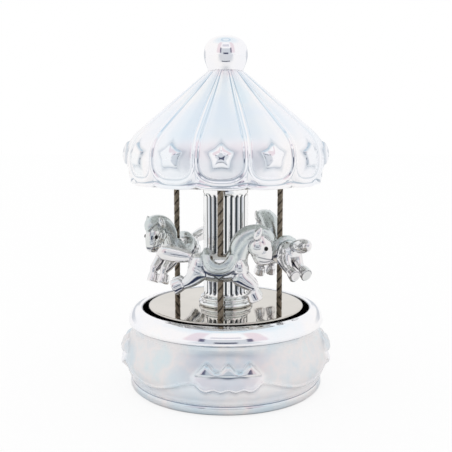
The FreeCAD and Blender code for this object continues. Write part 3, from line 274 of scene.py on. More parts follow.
def mirror():
    finish = Finish("mirror_top")
    haze = finish.clouds(60, 4.0)
    finish.set(base_color=finish.ramp(haze, *MIRROR_TINTS), metallic=1.0, roughness=0.03 + 0.05 * haze)
    return finish.material


def black():
    finish = Finish("black_paint")
    finish.set(base_color=finish.ramp(finish.clouds(800), *BLACK_TINTS), roughness=0.25, specular_ior_level=0.2)
    return finish.material


def plain(name, dark, light, metal, polish, scale):
    """One material with a fine grain."""
    finish = Finish(name)
    grain = finish.clouds(scale, 4.0)
    finish.set(base_color=finish.ramp(grain, (0.3, dark), (0.7, light)), metallic=metal,
               roughness=polish + 0.15 * grain, normal=finish.bump(grain, 0.25, 0.00005))
    return finish.material


def make_finishes():
    made = {
        "pearl": silver("silver_plate_satin", PEARL_TINTS, PEARL_CREASE_SHADE, 0.05, 0.06),
        "chrome": silver("silver_plate_bright", CHROME_TINTS, CHROME_CREASE_SHADE, 0.05, 0.05),
        "horse": horse_silver(),
        "belly": base_silver(),
        "fluted": fluted_silver(),
        "bronze": bronze(),
        "mirror": mirror(),
        "black": black(),
    }
    for name, look in PLAIN_FINISHES.items():
        made[name] = plain(name, *look)
    return made


FINISHES = make_finishes()


# mesh helpers
def linked(bm, name):
    """Makes the bmesh an object in the scene."""
    mesh = bpy.data.meshes.new(name)
    bm.to_mesh(mesh)
    bm.free()
    item = bpy.data.objects.new(name, mesh)
    bpy.context.scene.collection.objects.link(item)
    return item


def piece(bm, name, body, slot, finish, *replaced):
    """Makes the bmesh, in millimetres, a smooth piece that rides on a body."""
    bmesh.ops.scale(bm, vec=(MM, MM, MM), verts=bm.verts)
    for face in bm.faces:
        face.smooth = True
    item = linked(bm, name)
    item.data.materials.append(FINISHES[finish])
    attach(item, body)
    if replaced:
        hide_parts(*replaced)
    return item


def eased(points, cuts):
    """Smooth line through a few (radius, height) points, with cuts between them."""
    spots = [Vector((a, 0, b)) for a, b in points]
    line = [spots[0]]
    for i in range(len(spots) - 1):
        before, start = spots[max(i - 1, 0)], spots[i]
        end, after = spots[i + 1], spots[min(i + 2, len(spots) - 1)]
        reach = (end - start).length / 3
        lean_start = (end - before).normalized() * reach
        lean_end = (after - start).normalized() * reach
        line += interpolate_bezier(start, start + lean_start, end - lean_end, end, cuts + 2)[1:]
    return [(spot.x, spot.z) for spot in line]


def spun(bm, line, steps, start=0.0, sweep=FULL_TURN):
    """Turns a line of (radius, height) spots round the middle axis, from a start angle off the front."""
    across, ahead = math.sin(start), -math.cos(start)
    spots = [bm.verts.new((radius * across, radius * ahead, height)) for radius, height in line]
    edges = [bm.edges.new(pair) for pair in zip(spots, spots[1:])]
    bmesh.ops.spin(bm, geom=spots + edges, cent=(0, 0, 0), axis=(0, 0, 1), dvec=(0, 0, 0),
                   angle=sweep, steps=steps, use_merge=sweep == FULL_TURN, use_duplicate=False)


def repeated(bm, count):
    """Copies what is there round the middle axis, to make a full turn of it."""
    first = bm.verts[:] + bm.edges[:] + bm.faces[:]
    bmesh.ops.spin(bm, geom=first, cent=(0, 0, 0), axis=(0, 0, 1), dvec=(0, 0, 0),
                   angle=FULL_TURN * (count - 1) / count, steps=count - 1, use_duplicate=True)


def turned(bm, angle):
    """Turns everything about the middle axis."""
    bmesh.ops.rotate(bm, cent=(0, 0, 0), matrix=Matrix.Rotation(angle, 3, "Z"), verts=bm.verts)


def closed(bm):
    """Joins spots that coincide and turns the faces outwards."""
    bmesh.ops.remove_doubles(bm, verts=bm.verts, dist=0.0005)
    bmesh.ops.recalc_face_normals(bm, faces=bm.faces)


def only(result, kind):
    """Vertices or faces among what an operator made."""
    return [item for item in result["geom"] if isinstance(item, kind)]


def layers(bm, *names):
    """Adds the attributes that the finishes read."""
    for name in names:
        bm.verts.layers.float.new(name)
    return [bm.verts.layers.float[name] for name in names]


def mark_creases(bm, low, high):
    """Writes how sharply the surface turns inwards, per millimetre, to the attribute that the finishes read as painted
    crease shade.
    """
    layer = bm.verts.layers.float.new("crease")
    bm.normal_update()
    for spot in bm.verts:
        turn = 0.0
        for edge in spot.link_edges:
            away = edge.other_vert(spot).co - spot.co
            turn += away.dot(spot.normal) / max(away.length_squared, 1e-6)
        spot[layer] = soft_step(2 * turn / max(len(spot.link_edges), 1), low, high)


def soft_step(value, low, high):
    """Smooth change from 0 at low to 1 at high."""
    share = min(max((value - low) / (high - low), 0.0), 1.0)
    return share * share * (3 - 2 * share)


def hump(distance, width):
    """1 in the middle of a rounded line, falling to 0 beside it."""
    return math.exp(-(distance / width) ** 2)


def radius_at(line, height):
    """Radius of a falling outline at a height."""
    i = min(max(bisect(line, -height, key=lambda spot: -spot[1]), 1), len(line) - 1)
    (r_top, z_top), (r_low, z_low) = line[i - 1], line[i]
    share = min(max((z_top - height) / max(z_top - z_low, 1e-6), 0.0), 1.0)
    return r_top + (r_low - r_top) * share


# canopy
CANOPY_LINE = eased([(7.6, 140.5), (16.8, 132.6), (26.0, 124.8), (35.1, 117.0), (39.2, 113.3), (42.0, 109.4),
                     (43.2, 105.0), (43.3, 100.5), (42.7, 96.4), (42.2, 94.2), (42.5, 92.8), (41.8, 91.7)], 10)
CANOPY_INNER = [(40.8, 91.9), (40.5, 94.0), (40.3, 95.2), (40.6, 99.0), (40.9, 104.0), (39.0, 109.8), (33.0, 115.6),
                (20.0, 126.4), (7.6, 137.4), (2.3, 138.0), (2.3, 140.5), (7.6, 140.5)]
CANOPY_HEM = 91.7
PANEL_MIDDLE, PANEL_DROP = 104.0, 9.6  # below the middle a panel is rounded down to its lower edge
PANEL_SQUARE = 2.8
BEAD_HALF = 0.85
STAR_HEIGHT = 104.6
STAR_POINT, STAR_WAIST = 6.4, 4.0
STAR_RINGS = ((1.2, 0.98), (0.65, 0.77), (0.6, 0.46), (0.15, 0.26))  # rise over the ring before, share of the size
STAR_LEAN = math.radians(90 - 5)


def star_reach(angle):
    """Distance from a star's middle to its outline; the angle is counted from its top point."""
    tenth = math.pi / 5
    off = abs((angle + tenth) % (2 * tenth) - tenth)
    return STAR_POINT * STAR_WAIST * math.sin(tenth) / (
        STAR_POINT * math.sin(off) + STAR_WAIST * math.sin(tenth - off))


def panel_edge(across, height, radius):
    """Distance in from the bead that frames a panel; across is measured round the canopy."""
    half = radius * LOBE_HALF
    if height >= PANEL_MIDDLE:
        return half - abs(across)
    a, b = abs(across) / half, (PANEL_MIDDLE - height) / PANEL_DROP
    grown = (a ** PANEL_SQUARE + b ** PANEL_SQUARE) ** (1 / PANEL_SQUARE)
    slope = math.hypot((a / grown) ** (PANEL_SQUARE - 1) / half, (b / grown) ** (PANEL_SQUARE - 1) / PANEL_DROP)
    return (1 - grown) / max(slope, 1e-6)


def canopy_shape(spot):
    """Outward and upward move of a spot, then how satin and how shaded it is.

    Each panel is crowned with a bead round it, sunk corners, a scalloped hem and shade round its star.
    """
    radius = math.hypot(spot.x, spot.y)
    across = radius * math.atan2(spot.x, -spot.y)
    edge = panel_edge(across, spot.z, radius)
    small = soft_step(radius, 3, 18)
    width = BEAD_HALF * (0.35 + 0.65 * soft_step(radius, 5, 30))
    bead = hump(edge, width)
    crown = soft_step(edge, 0.6 * width, 0.8 * radius * LOBE_HALF)
    out = 0.85 * bead + 1.0 * crown - 0.45
    if edge < 0 and spot.z < PANEL_MIDDLE:
        out -= 0.5 * soft_step(-edge, 0.6 * width, 2.2)
    out *= small * soft_step(spot.z, CANOPY_HEM, 94.0)
    lift = 1.2 * (1 - soft_step(spot.z, CANOPY_HEM, 95.5)) * (abs(across) / (radius * LOBE_HALF)) ** 4
    satin = soft_step(edge, 1.6 * width, 3.0 * width)
    # painted shade on the panel round its star
    star_gap = math.hypot(across, spot.z - STAR_HEIGHT) - star_reach(math.atan2(across, spot.z - STAR_HEIGHT))
    shade = 0.45 * (1 - soft_step(star_gap, -0.4, 1.8))
    return out, lift, satin, shade


def make_canopy():
    bm = bmesh.new()
    spun(bm, CANOPY_LINE + CANOPY_INNER, 40, -LOBE_HALF, 2 * LOBE_HALF)
    satin, shade = layers(bm, "satin", "shade")
    for spot in bm.verts:
        share = math.atan2(spot.co.x, -spot.co.y) / LOBE_HALF
        shift = LOBE_HALF * (share * (1.35 - 0.35 * share * share) - share)
        spot.co.rotate(Matrix.Rotation(shift, 3, "Z"))
        radius = math.hypot(spot.co.x, spot.co.y)
        if radius < radius_at(CANOPY_LINE, spot.co.z) - WALL_DEPTH:
            continue
        out, lift, spot[satin], spot[shade] = canopy_shape(spot.co)
        spot.co += Vector((spot.co.x * out / radius, spot.co.y * out / radius, lift))
    repeated(bm, LOBES)
    turned(bm, CANOPY_TURN)
    closed(bm)
    mark_creases(bm, 0.10, 0.80)
    piece(bm, "canopy_shell", "carousel", "silver_plate", "pearl", "canopy")


def make_stars():
    bm = bmesh.new()
    made = bmesh.ops.create_circle(bm, cap_ends=True, segments=10, radius=1.0)
    for i, spot in enumerate(made["verts"]):
        reach = STAR_POINT + 0.5 if i % 2 == 0 else STAR_WAIST
        angle = math.pi / 2 + i * math.pi / 5
        spot.co = (reach * math.cos(angle), reach * math.sin(angle), 0)
    bmesh.ops.recalc_face_normals(bm, faces=bm.faces)
    lid = bm.faces[:]
    for rise, size in STAR_RINGS:
        raised = bmesh.ops.extrude_face_region(bm, geom=lid)
        bmesh.ops.delete(bm, geom=lid, context="FACES_ONLY")
        lid = only(raised, bmesh.types.BMFace)
        top = lid[0].verts[:]
        bmesh.ops.translate(bm, vec=(0, 0, rise), verts=top)
        share = size * STAR_POINT / max(math.hypot(*spot.co.xy) for spot in top)
        bmesh.ops.scale(bm, vec=(share, share, 1), verts=top)
    bmesh.ops.poke(bm, faces=lid, offset=0.05)
    # painted shade on the lower sides of each star
    shade = bm.verts.layers.float.new("shade")
    for spot in bm.verts:
        spot[shade] = 0.7 * (1 - soft_step(spot.co.z, 0.9, 1.9))
    lean = Matrix.Rotation(STAR_LEAN, 4, "X")
    seat = Matrix.Translation((0, -radius_at(CANOPY_LINE, STAR_HEIGHT) + 0.6, STAR_HEIGHT))
    bmesh.ops.transform(bm, matrix=seat @ lean, verts=bm.verts)
    repeated(bm, LOBES)
    turned(bm, CANOPY_TURN)
    bmesh.ops.recalc_face_normals(bm, faces=bm.faces)
    stars = piece(bm, "canopy_stars", "carousel", "silver_plate", "pearl")
    rounding = stars.modifiers.new("rounding", "SUBSURF")
    rounding.levels = rounding.render_levels = 2


FINIAL_LINE = eased([(7.5, 140.4), (8.1, 142.0), (8.9, 144.0), (9.45, 146.2), (9.5, 148.0), (9.2, 150.0), (8.5, 151.9),
                     (6.8, 153.8), (4.6, 154.9), (2.6, 155.4), (0.0, 155.6)], 5)


def make_finial():
    bm = bmesh.new()
    spun(bm, [(2.1, 140.4)] + FINIAL_LINE, 96)
    closed(bm)
    mark_creases(bm, 0.5, 2.0)
    piece(bm, "finial_ball", "carousel", "silver_plate", "pearl", "finial")


# base
BASE_LINE = eased([(38.8, 36.4), (41.4, 35.4), (43.3, 33.0), (44.0, 30.6), (43.7, 29.6), (42.8, 29.0), (42.55, 27.4),
                   (42.9, 25.0), (44.2, 21.8), (45.6, 17.6), (46.4, 13.4), (46.3, 11.0), (45.3, 8.2), (43.8, 5.6),
                   (42.8, 4.1), (43.1, 3.8), (43.4, 3.2), (43.4, 1.4), (42.4, 0.4)], 7)
BASE_INNER = [(41.2, 0.4), (41.2, 3.2), (38.8, 3.2), (38.8, 4.8), (41.5, 4.9), (44.6, 12.0), (43.0, 21.0),
              (41.2, 27.4), (41.2, 28.3), (37.6, 34.2), (37.6, 35.2), (37.9, 36.05), (38.8, 36.4)]
LEAF_TOP_HALF, LEAF_LOW_HALF = 14.4, 12.4
LEAF_PITCH = 8.6
LEAF_TURN = math.radians(1.2)
LEAF_HOLLOW = 18.0  # height of the hollow between the crests above and the apron below
WAVE_PITCH = 6.0
RELIEF_LOW, RELIEF_TOP = 3.9, 28.0
# the painted shade on the inner wall reaches up to this height
INSIDE_SHADE_TOP = 35.6


def base_shape(spot):
    """Outward move of a spot, then how satin it is, its painted shade and its painted highlight.

    A leaf has three crests and a wavy apron; a swag line hangs between the leaves.
    """
    radius = math.hypot(spot.x, spot.y)
    across = radius * math.atan2(spot.x, -spot.y)
    side, height = abs(across), spot.z
    wave = 0.5 + 0.5 * math.cos(FULL_TURN * across / LEAF_PITCH)
    half = LEAF_LOW_HALF + (LEAF_TOP_HALF - LEAF_LOW_HALF) * soft_step(height, 12.0, LEAF_HOLLOW)
    within = 1 - soft_step(side, half - 3.0, half + 2.4)
    swag = 9.8 + 5.0 * (1 - soft_step(side, LEAF_LOW_HALF, 34.0))
    drop = 1 - soft_step(side, LEAF_LOW_HALF - 1.6, LEAF_LOW_HALF + 1.8)
    low = swag + (12.2 + 0.4 * math.cos(FULL_TURN * across / WAVE_PITCH) - swag) * drop
    ridge = hump(height - low, 0.65)
    cove = soft_step(low - height, 0.2, 2.4) * soft_step(height, 4.2, 7.2)
    out = (0.6 + 0.1 * within) * ridge - 0.8 * cove
    ends = soft_step(LEAF_TOP_HALF - side, -1.6, 3.2)
    top = LEAF_HOLLOW - 0.4 + (2.8 + 2.8 * wave ** 1.4) * ends
    above = soft_step(height, LEAF_HOLLOW - 0.3, LEAF_HOLLOW + 0.3)
    crest = soft_step(top - height, -0.4, 1.8) * above
    sag = 0.95 - 0.65 * soft_step(height, low + 1.0, LEAF_HOLLOW)
    apron = soft_step(height, low - 0.3, low + 0.8) * (1 - above) * sag
    out += ends * 2.1 * crest + within * apron
    swell = hump(height - 20.0, 4.2) * (1 - soft_step(side, 6.0, 19.0))
    satin = (1 - ends * crest) * (1 - 0.8 * ridge) * soft_step(height, 4.2, 5.4) * (1 - soft_step(height, 27.0, 28.0))
    # painted shade along the hollow under the crests
    shade = hump(height - LEAF_HOLLOW + 0.1 + 0.5 * wave, 0.45) * (1 - soft_step(side, 5.5, 9.5))
    # painted highlight on the apron, and weaker in the cove below the swag line
    bright = within * soft_step(height, low - 0.4, low + 0.4) * (1 - above)
    bright = max(bright, 0.6 * soft_step(low - height, 0.0, 1.5))
    return out + 0.35 * swell, satin, shade, bright


def make_base():
    bm = bmesh.new()
    spun(bm, BASE_LINE + BASE_INNER, 150, -math.pi / LEAVES, FULL_TURN / LEAVES)
    satin, shade, bright, inside = layers(bm, "satin", "shade", "bright", "inside")
    for spot in bm.verts:
        radius = math.hypot(spot.co.x, spot.co.y)
        if radius < radius_at(BASE_LINE, spot.co.z) - WALL_DEPTH:
            # painted shade: the inner wall below its top is marked to be near-black
            spot[inside] = float(spot.co.z < INSIDE_SHADE_TOP)
        elif RELIEF_LOW < spot.co.z < RELIEF_TOP:
            out, spot[satin], spot[shade], spot[bright] = base_shape(spot.co)
            spot.co += Vector((spot.co.x, spot.co.y, 0)) * (out / radius)
    repeated(bm, LEAVES)
    turned(bm, LEAF_TURN)
    closed(bm)
    mark_creases(bm, 0.3, 1.7)
    piece(bm, "base_casting", "base", "silver_plate", "belly", "base_shell")


# column, poles and disc
COLUMN_RADIUS, COLUMN_BORE = 10.0, 7.8
COLUMN_LOW = 41.2
COLUMN_STEPS = FLUTES * 12
COLUMN_LIFTS = [0.3, 0.5, 0.3, 0.3, 0.4] + [2.1] * 20 + [0.4, 0.3, 0.3, 0.3, 0.3, 0.3, 0.3, 0.3]
FLUTE_LOW, FLUTE_TOP = 42.0, 86.6
FLUTE_DEPTH = 0.085  # share of the radius
FOOT_BORE = 7.7
FOOT_LOW = 36.62
POLE_RADIUS = 1.3
POLE_STEPS = 160
POLE_PITCH = 9.0
GROOVE_DEPTH = 0.24  # share of the radius
DISC_LINE = [(2.1, 36.6), (3.0, 36.6), (34.0, 36.6), (34.6, 36.6), (34.9, 36.5), (35.0, 36.2), (35.0, 35.6),
             (34.9, 35.3), (34.6, 35.2), (34.0, 35.2), (3.0, 35.2), (2.1, 35.2)]


def make_column():
    bm = bmesh.new()
    ring = bmesh.ops.create_circle(bm, segments=COLUMN_STEPS, radius=COLUMN_RADIUS)["verts"]
    bmesh.ops.translate(bm, vec=(0, 0, COLUMN_LOW), verts=ring)
    for lift in COLUMN_LIFTS:
        rim = [edge for edge in bm.edges if edge.is_boundary or edge.is_wire]
        if bm.faces:
            top = max(spot.co.z for spot in bm.verts)
            rim = [edge for edge in rim if min(spot.co.z for spot in edge.verts) > top - 1e-4]
        grown = bmesh.ops.extrude_edge_only(bm, edges=rim)
        bmesh.ops.translate(bm, vec=(0, 0, lift), verts=only(grown, bmesh.types.BMVert))
    for spot in bm.verts:
        angle = math.atan2(spot.co.y, spot.co.x)
        depth = (0.5 + 0.5 * math.cos(FLUTES * angle)) ** 0.7
        ends = min(spot.co.z - FLUTE_LOW, FLUTE_TOP - spot.co.z)
        share = 1 - FLUTE_DEPTH * depth * math.sqrt(soft_step(ends, 0, 1.2))
        spot.co.x *= share
        spot.co.y *= share
    collar = [(COLUMN_RADIUS, 86.9), (10.35, 87.2), (10.4, 87.6), (10.4, CEILING)]
    bore = [(COLUMN_BORE, CEILING), (COLUMN_BORE, COLUMN_LOW), (COLUMN_RADIUS, COLUMN_LOW)]
    spun(bm, collar + bore, COLUMN_STEPS)
    closed(bm)
    piece(bm, "column_fluted", "carousel", "silver_plate", "fluted", "column_shaft")


def make_column_foot():
    bm = bmesh.new()
    line = [(FOOT_BORE, COLUMN_LOW), (10.3, COLUMN_LOW), (10.3, 40.75)]
    line += eased([(10.7, 40.7), (11.3, 40.4), (11.5, 40.0), (11.3, 39.5), (10.7, 39.3)], 4)
    line += eased([(10.9, 38.8), (11.8, 38.6), (12.3, 37.7), (11.9, 36.8), (11.3, FOOT_LOW)], 4)
    spun(bm, line + [(FOOT_BORE, FOOT_LOW)], 96)
    spun(bm, [(FOOT_BORE, FOOT_LOW), (FOOT_BORE, COLUMN_LOW)], 96)
    closed(bm)
    piece(bm, "column_plinth", "carousel", "silver_plate", "chrome", "column_foot")


def make_poles():
    for i, angle in enumerate(POLE_ANGLES):
        x, y = POLE_CIRCLE * math.sin(angle), -POLE_CIRCLE * math.cos(angle)
        bm = bmesh.new()
        ring = bmesh.ops.create_circle(bm, cap_ends=False, segments=24, radius=POLE_RADIUS)["verts"]
        for k, spot in enumerate(ring):
            groove = 1 - GROOVE_DEPTH * max(0.0, math.cos(2 * math.pi * k / 12)) ** 8
            spot.co.x *= groove
            spot.co.y *= groove
        bmesh.ops.translate(bm, vec=(x, y, DISC_TOP), verts=ring)
        length = CEILING - DISC_TOP
        bmesh.ops.spin(bm, geom=bm.verts[:] + bm.edges[:], cent=(x, y, 0), axis=(0, 0, 1),
                       dvec=(0, 0, length / POLE_STEPS), angle=FULL_TURN * length / POLE_PITCH, steps=POLE_STEPS)
        bmesh.ops.recalc_face_normals(bm, faces=bm.faces)
        # painted shade in the twist grooves, darker where they are deeper
        layer = bm.verts.layers.float.new("crease")
        for spot in bm.verts:
            spot[layer] = soft_step(POLE_RADIUS - math.hypot(spot.co.x - x, spot.co.y - y), 0.02, 0.14)
        piece(bm, f"pole_{i + 1}_twisted", "carousel", "pole_metal", "bronze", f"pole_{i + 1}")


def make_disc():
    bm = bmesh.new()
    spun(bm, DISC_LINE, 160)
    closed(bm)
    piece(bm, "mirror_disc", "carousel", "mirror_disc", "mirror", "turntable_disc")


# horses: stations are (along, up, half width, half depth) from the pole, in millimetres
TRUNK = [(-13.2, 3.8, 2.4, 2.8), (-11.8, 3.3, 4.5, 4.6), (-8.0, 2.4, 5.4, 5.9), (-3.0, 1.3, 5.3, 6.2),
         (2.0, 1.3, 5.3, 6.2), (6.5, 2.1, 5.3, 6.0), (9.6, 3.2, 4.6, 5.4), (11.2, 3.8, 2.6, 3.4)]
NECK = [(5.4, 2.4, 4.6, 5.6), (6.9, 6.6, 4.2, 4.7), (8.6, 10.4, 3.6, 4.0), (11.2, 14.0, 3.2, 3.5),
        (13.8, 16.2, 2.6, 2.6)]
HEAD = [(13.4, 16.4, 1.6, 2.0), (14.8, 14.4, 3.3, 4.4), (16.2, 11.2, 4.0, 5.2), (17.0, 8.0, 3.6, 4.6),
        (17.4, 5.8, 3.3, 4.1), (17.5, 4.2, 2.8, 3.5), (17.6, 3.2, 2.1, 2.5), (17.6, 2.7, 1.0, 1.2)]
NOSEBAND = [(16.8, 8.6, 4.1, 5.2), (17.2, 7.2, 3.9, 4.9)]
CHINBAND = [(17.4, 5.9, 3.6, 4.4), (17.5, 4.9, 3.3, 3.9)]
MANE = [(21.4, 12.6, 0.8, 0.7), (21.0, 14.6, 2.2, 1.4), (19.2, 16.8, 3.2, 2.0), (15.9, 17.6, 3.8, 2.5),
        (12.0, 16.7, 4.2, 3.2), (9.0, 14.4, 4.5, 3.5), (6.9, 11.6, 4.7, 3.4), (6.0, 8.8, 4.8, 2.9),
        (6.0, 6.4, 4.0, 1.8)]
EAR = [(14.2, 13.8, 0.8, 0.9), (15.0, 15.2, 1.3, 1.6), (15.8, 16.8, 1.4, 1.7), (16.5, 18.3, 0.9, 1.1),
       (16.9, 19.3, 0.3, 0.3)]
FORE_UPPER = [(6.5, -0.4, 2.8, 4.2), (9.2, -2.9, 2.6, 3.4), (11.8, -4.6, 2.3, 2.8), (13.9, -5.8, 2.0, 2.2),
              (15.0, -6.5, 1.2, 1.4)]
FORE_LOWER = [(14.0, -5.0, 1.7, 1.9), (13.9, -7.0, 1.7, 1.8), (13.9, -8.6, 1.7, 1.8)]
FORE_HOOF = [(13.1, -7.5, 2.0, 2.2), (13.3, -7.9, 2.3, 2.6), (13.6, -8.5, 2.4, 2.8), (14.6, -11.0, 2.7, 3.2),
             (14.8, -11.6, 2.7, 3.2), (14.85, -11.7, 2.2, 2.7)]
HIND = [(-8.0, 2.0, 3.2, 5.2), (-9.8, -1.0, 3.0, 4.4), (-11.8, -3.4, 2.5, 3.2), (-14.0, -4.8, 2.0, 2.3),
        (-16.2, -5.6, 1.8, 1.9)]
HIND_HOOF = [(-15.3, -4.7, 2.0, 2.4), (-15.7, -4.9, 2.3, 2.8), (-16.3, -5.2, 2.4, 3.0), (-18.8, -6.5, 2.7, 3.4),
             (-19.4, -6.8, 2.7, 3.4), (-19.5, -6.85, 2.2, 2.9)]
TAIL = [(-11.6, 5.8, 1.8, 2.0), (-14.0, 6.0, 2.2, 2.6), (-17.0, 6.4, 2.6, 3.3), (-20.6, 7.0, 2.8, 3.6),
        (-23.6, 7.6, 2.5, 3.1), (-25.4, 8.1, 1.8, 2.1), (-26.3, 8.4, 0.7, 0.8)]
CANTLE = [(-5.8, 4.0, 6.0, 1.9), (-5.9, 7.0, 5.4, 1.9), (-5.8, 9.0, 3.8, 1.6), (-5.7, 9.9, 1.6, 0.9)]
POMMEL = [(5.4, 4.0, 6.0, 1.9), (5.7, 7.0, 5.4, 1.9), (6.0, 9.4, 3.8, 1.6), (6.2, 10.4, 1.6, 0.9)]
SADDLE_SEAT = [(-4.0, 8.0), (-3.6, 6.4), (-2.0, 4.6), (0.0, 3.9), (2.0, 4.7), (3.6, 6.6), (4.2, 8.0)]
# half width and outline, from the lowest layer up
SADDLE_LAYERS = [
    (6.1, [(-7.6, 8.0), *SADDLE_SEAT, (7.6, 8.0),
           (7.8, 6.0), (7.2, 3.4), (5.8, 1.1), (3.4, -0.4), (1.6, -0.9), (-0.3, -2.6), (-2.2, -0.9), (-4.2, -0.5),
           (-6.0, 0.6), (-7.2, 2.6), (-7.6, 5.0)]),
    (6.7, [(-7.1, 8.0), *SADDLE_SEAT, (6.9, 8.0),
           (6.9, 6.4), (6.2, 4.0), (4.6, 1.9), (2.2, 0.6), (-0.2, 0.2), (-2.6, 0.5), (-5.0, 1.8), (-6.4, 3.8),
           (-7.0, 6.0)]),
    (7.2, [(-6.2, 8.0), *SADDLE_SEAT, (6.0, 8.0),
           (5.8, 6.6), (4.9, 4.8), (3.2, 3.1), (1.4, 2.2), (-0.2, 1.9), (-2.0, 2.2), (-4.0, 3.4), (-5.4, 5.4),
           (-6.0, 7.0)]),
]
LEG_SIDE, EAR_SIDE = 3.0, 3.7
# balls on both sides: along, sideways, up, then half length, half width and half height
CHEEK = (15.1, 1.9, 10.5, 3.7, 2.7, 3.8)
HAUNCH = (-8.8, 2.4, 1.8, 4.2, 3.2, 5.4)
SHOULDER = (8.0, 2.4, 1.4, 3.4, 3.0, 5.0)
EYE = (18.8, 10.2)
EYE_SIZE = (0.95, 0.6, 0.95)
MELT_SIZE = 0.26


def limb(bm, stations, side=0.0):
    """Closed rounded limb through its stations, shifted sideways."""
    centres = [Vector((x, side, z)) for x, z, half, deep in stations]
    before = []
    for i, (x, z, half, deep) in enumerate(stations):
        ahead = (centres[min(i + 1, len(centres) - 1)] - centres[max(i - 1, 0)]).normalized()
        up = ahead.cross(Vector((0, 1, 0)))
        turn = Matrix((Vector((0, half, 0)), up * deep, ahead)).transposed().to_4x4()
        last = i in (0, len(stations) - 1)
        ring = bmesh.ops.create_circle(bm, cap_ends=last, segments=14, radius=1.0,
                                       matrix=Matrix.Translation(centres[i]) @ turn)["verts"]
        edges = list({edge for spot in ring for edge in spot.link_edges})
        if before:
            bmesh.ops.bridge_loops(bm, edges=before + edges)
        before = edges


def ball(bm, x, side, z, long, half, deep):
    """Round form about a place, with its half length, half width and half height."""
    bmesh.ops.create_uvsphere(bm, u_segments=16, v_segments=10, radius=1.0,
                              matrix=Matrix.Translation((x, side, z)) @ Matrix.Diagonal((long, half, deep, 1)))


def scratch(bm, name):
    """Temporary object in millimetres, for a modifier to work on."""
    bmesh.ops.recalc_face_normals(bm, faces=bm.faces)
    return linked(bm, name)


def worked(item, *others):
    """The mesh of a temporary object after its modifiers; the objects are removed."""
    graph = bpy.context.evaluated_depsgraph_get()
    mesh = bpy.data.meshes.new_from_object(item.evaluated_get(graph))
    for used in (item, *others):
        bpy.data.objects.remove(used)
    return mesh


def saddle_layer(half, edge):
    """Flaps of one thickness on both sides, cut to their edge."""
    tube = bmesh.new()
    limb(tube, [(along, 3.2, half, 9.6) for along in (-9, 0, 9)])
    body = scratch(tube, "saddle_body")
    body.modifiers.new("round", "SUBSURF").levels = 2
    plate = bmesh.new()
    face = plate.faces.new([plate.verts.new((x, -12, z)) for x, z in edge])
    raised = bmesh.ops.extrude_face_region(plate, geom=[face])
    bmesh.ops.translate(plate, vec=(0, 24, 0), verts=only(raised, bmesh.types.BMVert))
    shape = scratch(plate, "saddle_edge")
    trim = body.modifiers.new("trim", "BOOLEAN")
    trim.operation = "INTERSECT"
    trim.object = shape
    return worked(body, shape)


def horse_mesh():
    """One casting about the pole's axis, all its forms melted together."""
    bm = bmesh.new()
    for stations in (TRUNK, NECK, HEAD, NOSEBAND, CHINBAND, MANE, TAIL, CANTLE, POMMEL):
        limb(bm, stations)
    for side in (-1, 1):
        for stations in (FORE_UPPER, FORE_LOWER, FORE_HOOF, HIND, HIND_HOOF):
            limb(bm, stations, LEG_SIDE * side)
        for along, off, up, *sizes in (CHEEK, HAUNCH, SHOULDER):
            ball(bm, along, off * side, up, *sizes)
        limb(bm, EAR, EAR_SIDE * side)
    soft = scratch(bm, "horse_forms")
    soft.modifiers.new("round", "SUBSURF").levels = 2
    rounded = worked(soft)
    bm = bmesh.new()
    bm.from_mesh(rounded)
    for half, edge in SADDLE_LAYERS:
        bm.from_mesh(saddle_layer(half, edge))
    whole = scratch(bm, "horse_whole")
    melt = whole.modifiers.new("melt", "REMESH")
    melt.mode = "VOXEL"
    melt.voxel_size = MELT_SIZE
    polish = whole.modifiers.new("polish", "SMOOTH")
    polish.factor = 0.5
    polish.iterations = 5
    return worked(whole)


def gap(spot, start, end):
    """Distance from a spot to a straight piece of a line."""
    share = min(max((spot - start).dot(end - start) / (end - start).length_squared, 0.0), 1.0)
    return (spot - start.lerp(end, share)).length


def mane_depth(spot):
    """How deep a spot lies in the mane: 1 in its middle, 0 at its surface, below 0 outside."""
    deepest = -9.0
    for (x, z, half, deep), (x_end, z_end, *_) in zip(MANE, MANE[1:]):
        start, end = Vector((x, z)), Vector((x_end, z_end))
        away = math.hypot(gap(Vector((spot.x, spot.z)), start, end) / deep, spot.y / half)
        deepest = max(deepest, 1 - away)
    return deepest


def flap_gap(x, z):
    """Distance from the lower edge of the saddle flap, seen from the side."""
    edge = [Vector(spot) for spot in SADDLE_LAYERS[0][1] if spot[1] < 3.0]
    return min(gap(Vector((x, z)), start, end) for start, end in zip(edge, edge[1:]))


def muzzle_lines(x, z):
    """Painted shade lines of the mouth and of the strap above it, seen from the side."""
    mouth = hump(z - 4.6 - 0.06 * (x - 18.5) ** 2, 0.22) * soft_step(x, 15.6, 16.6)
    strap = hump(z - 6.4 + 0.25 * (x - 17.0), 0.2) * soft_step(x, 15.0, 16.0)
    return mouth + strap


def mark_castings(bm):
    """Adds painted dark lines to the creases: a painted reflection low on the body, and painted shade on the muzzle
    and along the saddle flap.

    Mane and saddle are marked as toned.
    """
    toned = bm.verts.layers.float.new("toned")
    crease = bm.verts.layers.float["crease"]
    for spot in bm.verts:
        x, y, z = spot.co
        # painted reflection: a dark band low on the body where the surface faces slightly downwards
        facing = -spot.normal.z
        line = soft_step(facing, 0.10, 0.16) * (1 - soft_step(facing, 0.30, 0.38)) * (1 - soft_step(z, -0.5, 2.0))
        line *= soft_step(z, -11.0, -8.0)
        if x > 13.5 and 2.0 < z < 8.0:
            line = muzzle_lines(x, z)
        if abs(y) > 2.5:
            line += hump(flap_gap(x, z), 0.4)
        mane = mane_depth(spot.co) > -0.15
        spot[crease] = min(max(spot[crease] * (0.3 if mane else 1.0), line), 1.0)
        saddle = abs(x) < 8.2 and z > -3.0 and math.hypot(y / 5.3, (z - 1.3) / 6.2) > 1.04
        spot[toned] = 1.0 if saddle or mane else 0.0


